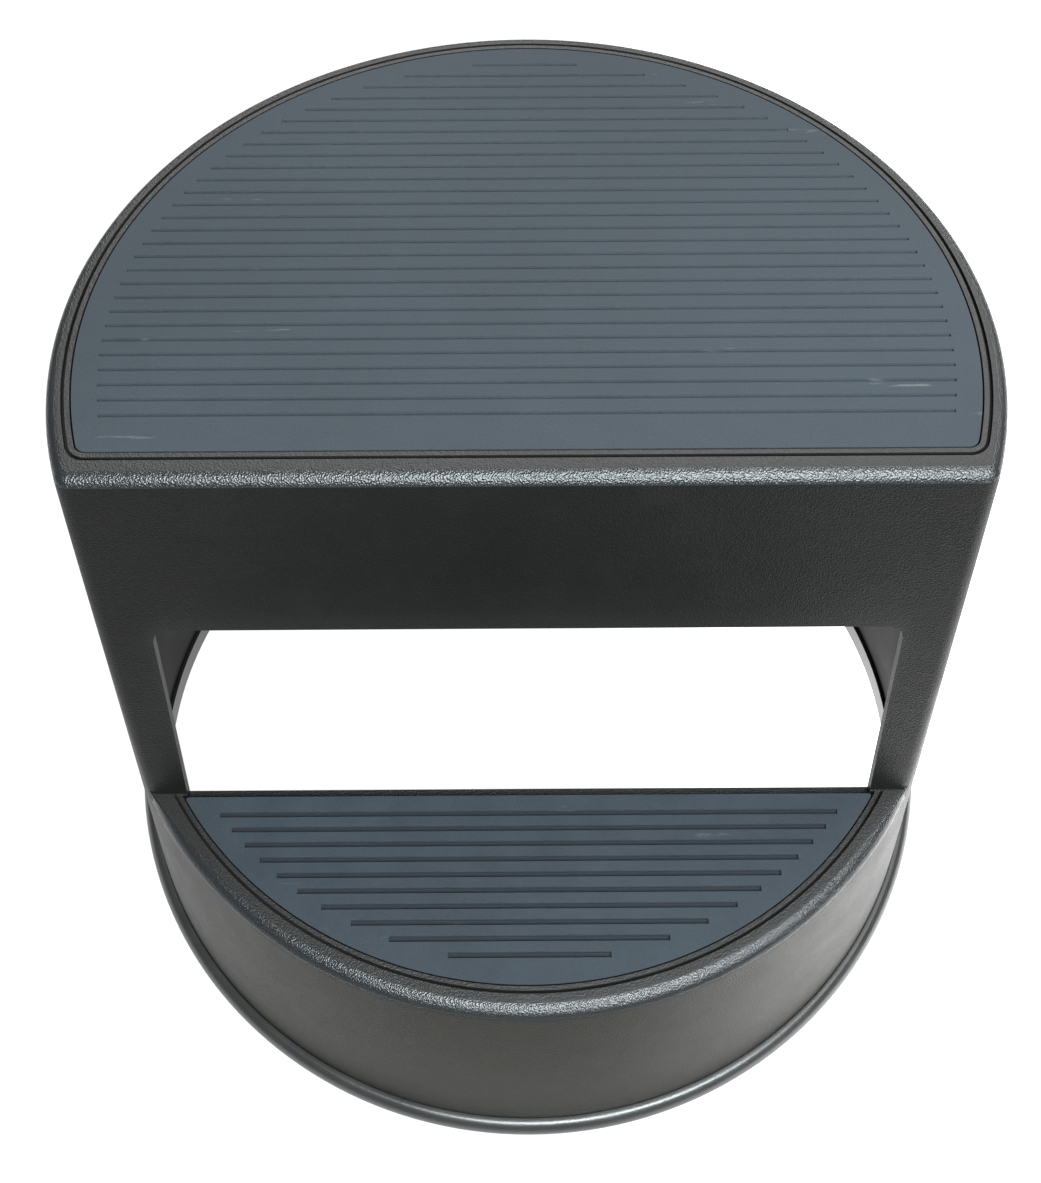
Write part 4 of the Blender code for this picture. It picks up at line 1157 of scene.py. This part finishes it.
# ---- room ------------
def build_room():
    """A white floor and surround; only the part of the floor by the stool lights it up."""
    def build(work):
        bmesh.ops.create_grid(work, x_segments=2, y_segments=2, size=6.0)
    floor = from_bmesh("floor", build)
    made, tree, shader, spot = surface("floor_paper")
    parts = node(tree, "ShaderNodeSeparateXYZ")
    tree.links.new(spot, parts.inputs[0])
    front = smooth_step(tree, parts.outputs["Y"], -0.262, -0.238)
    back = smooth_step(tree, parts.outputs["Y"], 1.60, 0.90)
    side = smooth_step(tree, maths(tree, "ABSOLUTE", parts.outputs["X"]), 1.00, 0.55)
    sheet = maths(tree, "MULTIPLY", maths(tree, "MULTIPLY", front, back), side)
    faint = noise(tree, spot, 3.0, 3.0, 0.5)
    pale = ramp(tree, faint, [(0.3, grey(0.05)), (0.7, grey(0.07))])
    dull = ramp(tree, faint, [(0.3, grey(0.15)), (0.7, grey(0.17))])
    tree.links.new(mix(tree, sheet, dull, pale), shader.inputs["Base Color"])
    right = smooth_step(tree, parts.outputs["X"], 0.02, 0.24)
    glow = maths(tree, "ADD", FLOOR_WHITE, maths(tree, "MULTIPLY", right, RIGHT_GLOW))
    seen = node(tree, "ShaderNodeLightPath").outputs["Is Camera Ray"]
    glow = maths(tree, "MAXIMUM", maths(tree, "MULTIPLY", sheet, glow),
                 maths(tree, "MULTIPLY", seen, FLOOR_WHITE))
    tree.links.new(glow, shader.inputs["Emission Strength"])
    shader.inputs["Emission Color"].default_value = (1.0, 1.0, 1.0, 1.0)
    shader.inputs["Roughness"].default_value = 0.9
    floor.data.materials.append(made)

    world = bpy.data.worlds.new("studio")
    bpy.context.scene.world = world
    world.use_nodes = True
    world.node_tree.nodes["Background"].inputs["Color"].default_value = (1.0, 1.0, 1.0, 1.0)
    seen = node(world.node_tree, "ShaderNodeLightPath").outputs["Is Camera Ray"]
    strength = maths(world.node_tree, "MAXIMUM", seen, WORLD_LIGHT)
    world.node_tree.links.new(strength, world.node_tree.nodes["Background"].inputs["Strength"])
    bpy.context.scene.view_settings.view_transform = "Standard"


def add_light(name, spot, target, size, power, colour=(1.0, 1.0, 1.0)):
    data = bpy.data.lights.new(name, "AREA")
    data.shape = "RECTANGLE"
    data.size, data.size_y = size
    data.energy = power
    data.color = colour
    lamp = new_object(name, data)
    lamp.location = spot
    aim = Vector(target) - Vector(spot)
    lamp.rotation_mode = "QUATERNION"
    lamp.rotation_quaternion = aim.to_track_quat("-Z", "Y")


def build_lights():
    add_light("key", (0.70, -0.10, 1.35), (0.0, -0.05, 0.2), (0.45, 0.45), 3.0)
    add_light("front", (0.22, -0.75, 1.05), (0.0, -0.06, 0.32), (0.90, 0.70), 34.0,
              (0.90, 0.98, 1.0))
    add_light("back", (0.20, 1.00, 1.25), (0.0, 0.0, 0.3), (2.2, 0.9), 24.0)


def build_camera():
    tilt = math.radians(CAMERA_TILT)
    roll = math.radians(CAMERA_ROLL)
    right = Vector((1.0, 0.0, 0.0))
    ahead = Vector((0.0, 1.0, 0.0))
    down = Vector((0.0, 0.0, -1.0))
    look = ahead * math.cos(tilt) + down * math.sin(tilt)
    image_down = down * math.cos(tilt) - ahead * math.sin(tilt)
    image_x = right * math.cos(roll) - image_down * math.sin(roll)
    image_y = -(right * math.sin(roll) + image_down * math.cos(roll))
    data = bpy.data.cameras.new("camera")
    data.sensor_width = 36.0
    data.lens = CAMERA_LENS
    data.shift_x, data.shift_y = CAMERA_SHIFT
    data.clip_start = 0.01
    camera = new_object("camera", data)
    basis = Matrix((image_x, image_y, -look)).transposed().to_4x4()
    camera.matrix_world = Matrix.Translation(CAMERA_SPOT) @ basis
    bpy.context.scene.camera = camera


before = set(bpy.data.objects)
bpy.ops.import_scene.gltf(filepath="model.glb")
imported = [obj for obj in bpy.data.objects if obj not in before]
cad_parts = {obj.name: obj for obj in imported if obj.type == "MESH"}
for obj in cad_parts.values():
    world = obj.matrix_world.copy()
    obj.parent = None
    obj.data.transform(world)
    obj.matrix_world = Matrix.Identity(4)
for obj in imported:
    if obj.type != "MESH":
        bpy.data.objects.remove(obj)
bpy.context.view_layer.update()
build_room()
build_lights()
build_camera()
build_body(body_looks())
build_treads()
build_base_ring()
caster_materials = caster_looks()
for caster_side, caster_degrees in CASTERS:
    build_housing(caster_side, caster_degrees, caster_materials)
    build_screws(caster_side, caster_degrees, caster_materials)
    build_plunger(caster_side, caster_degrees, caster_materials)
    build_spring(caster_side, caster_degrees, caster_materials)
    build_pivot(caster_side, caster_degrees, caster_materials)
    build_fork(caster_side, caster_degrees, caster_materials)
    build_wheel(caster_side, caster_degrees, caster_materials)
bpy.context.view_layer.update()
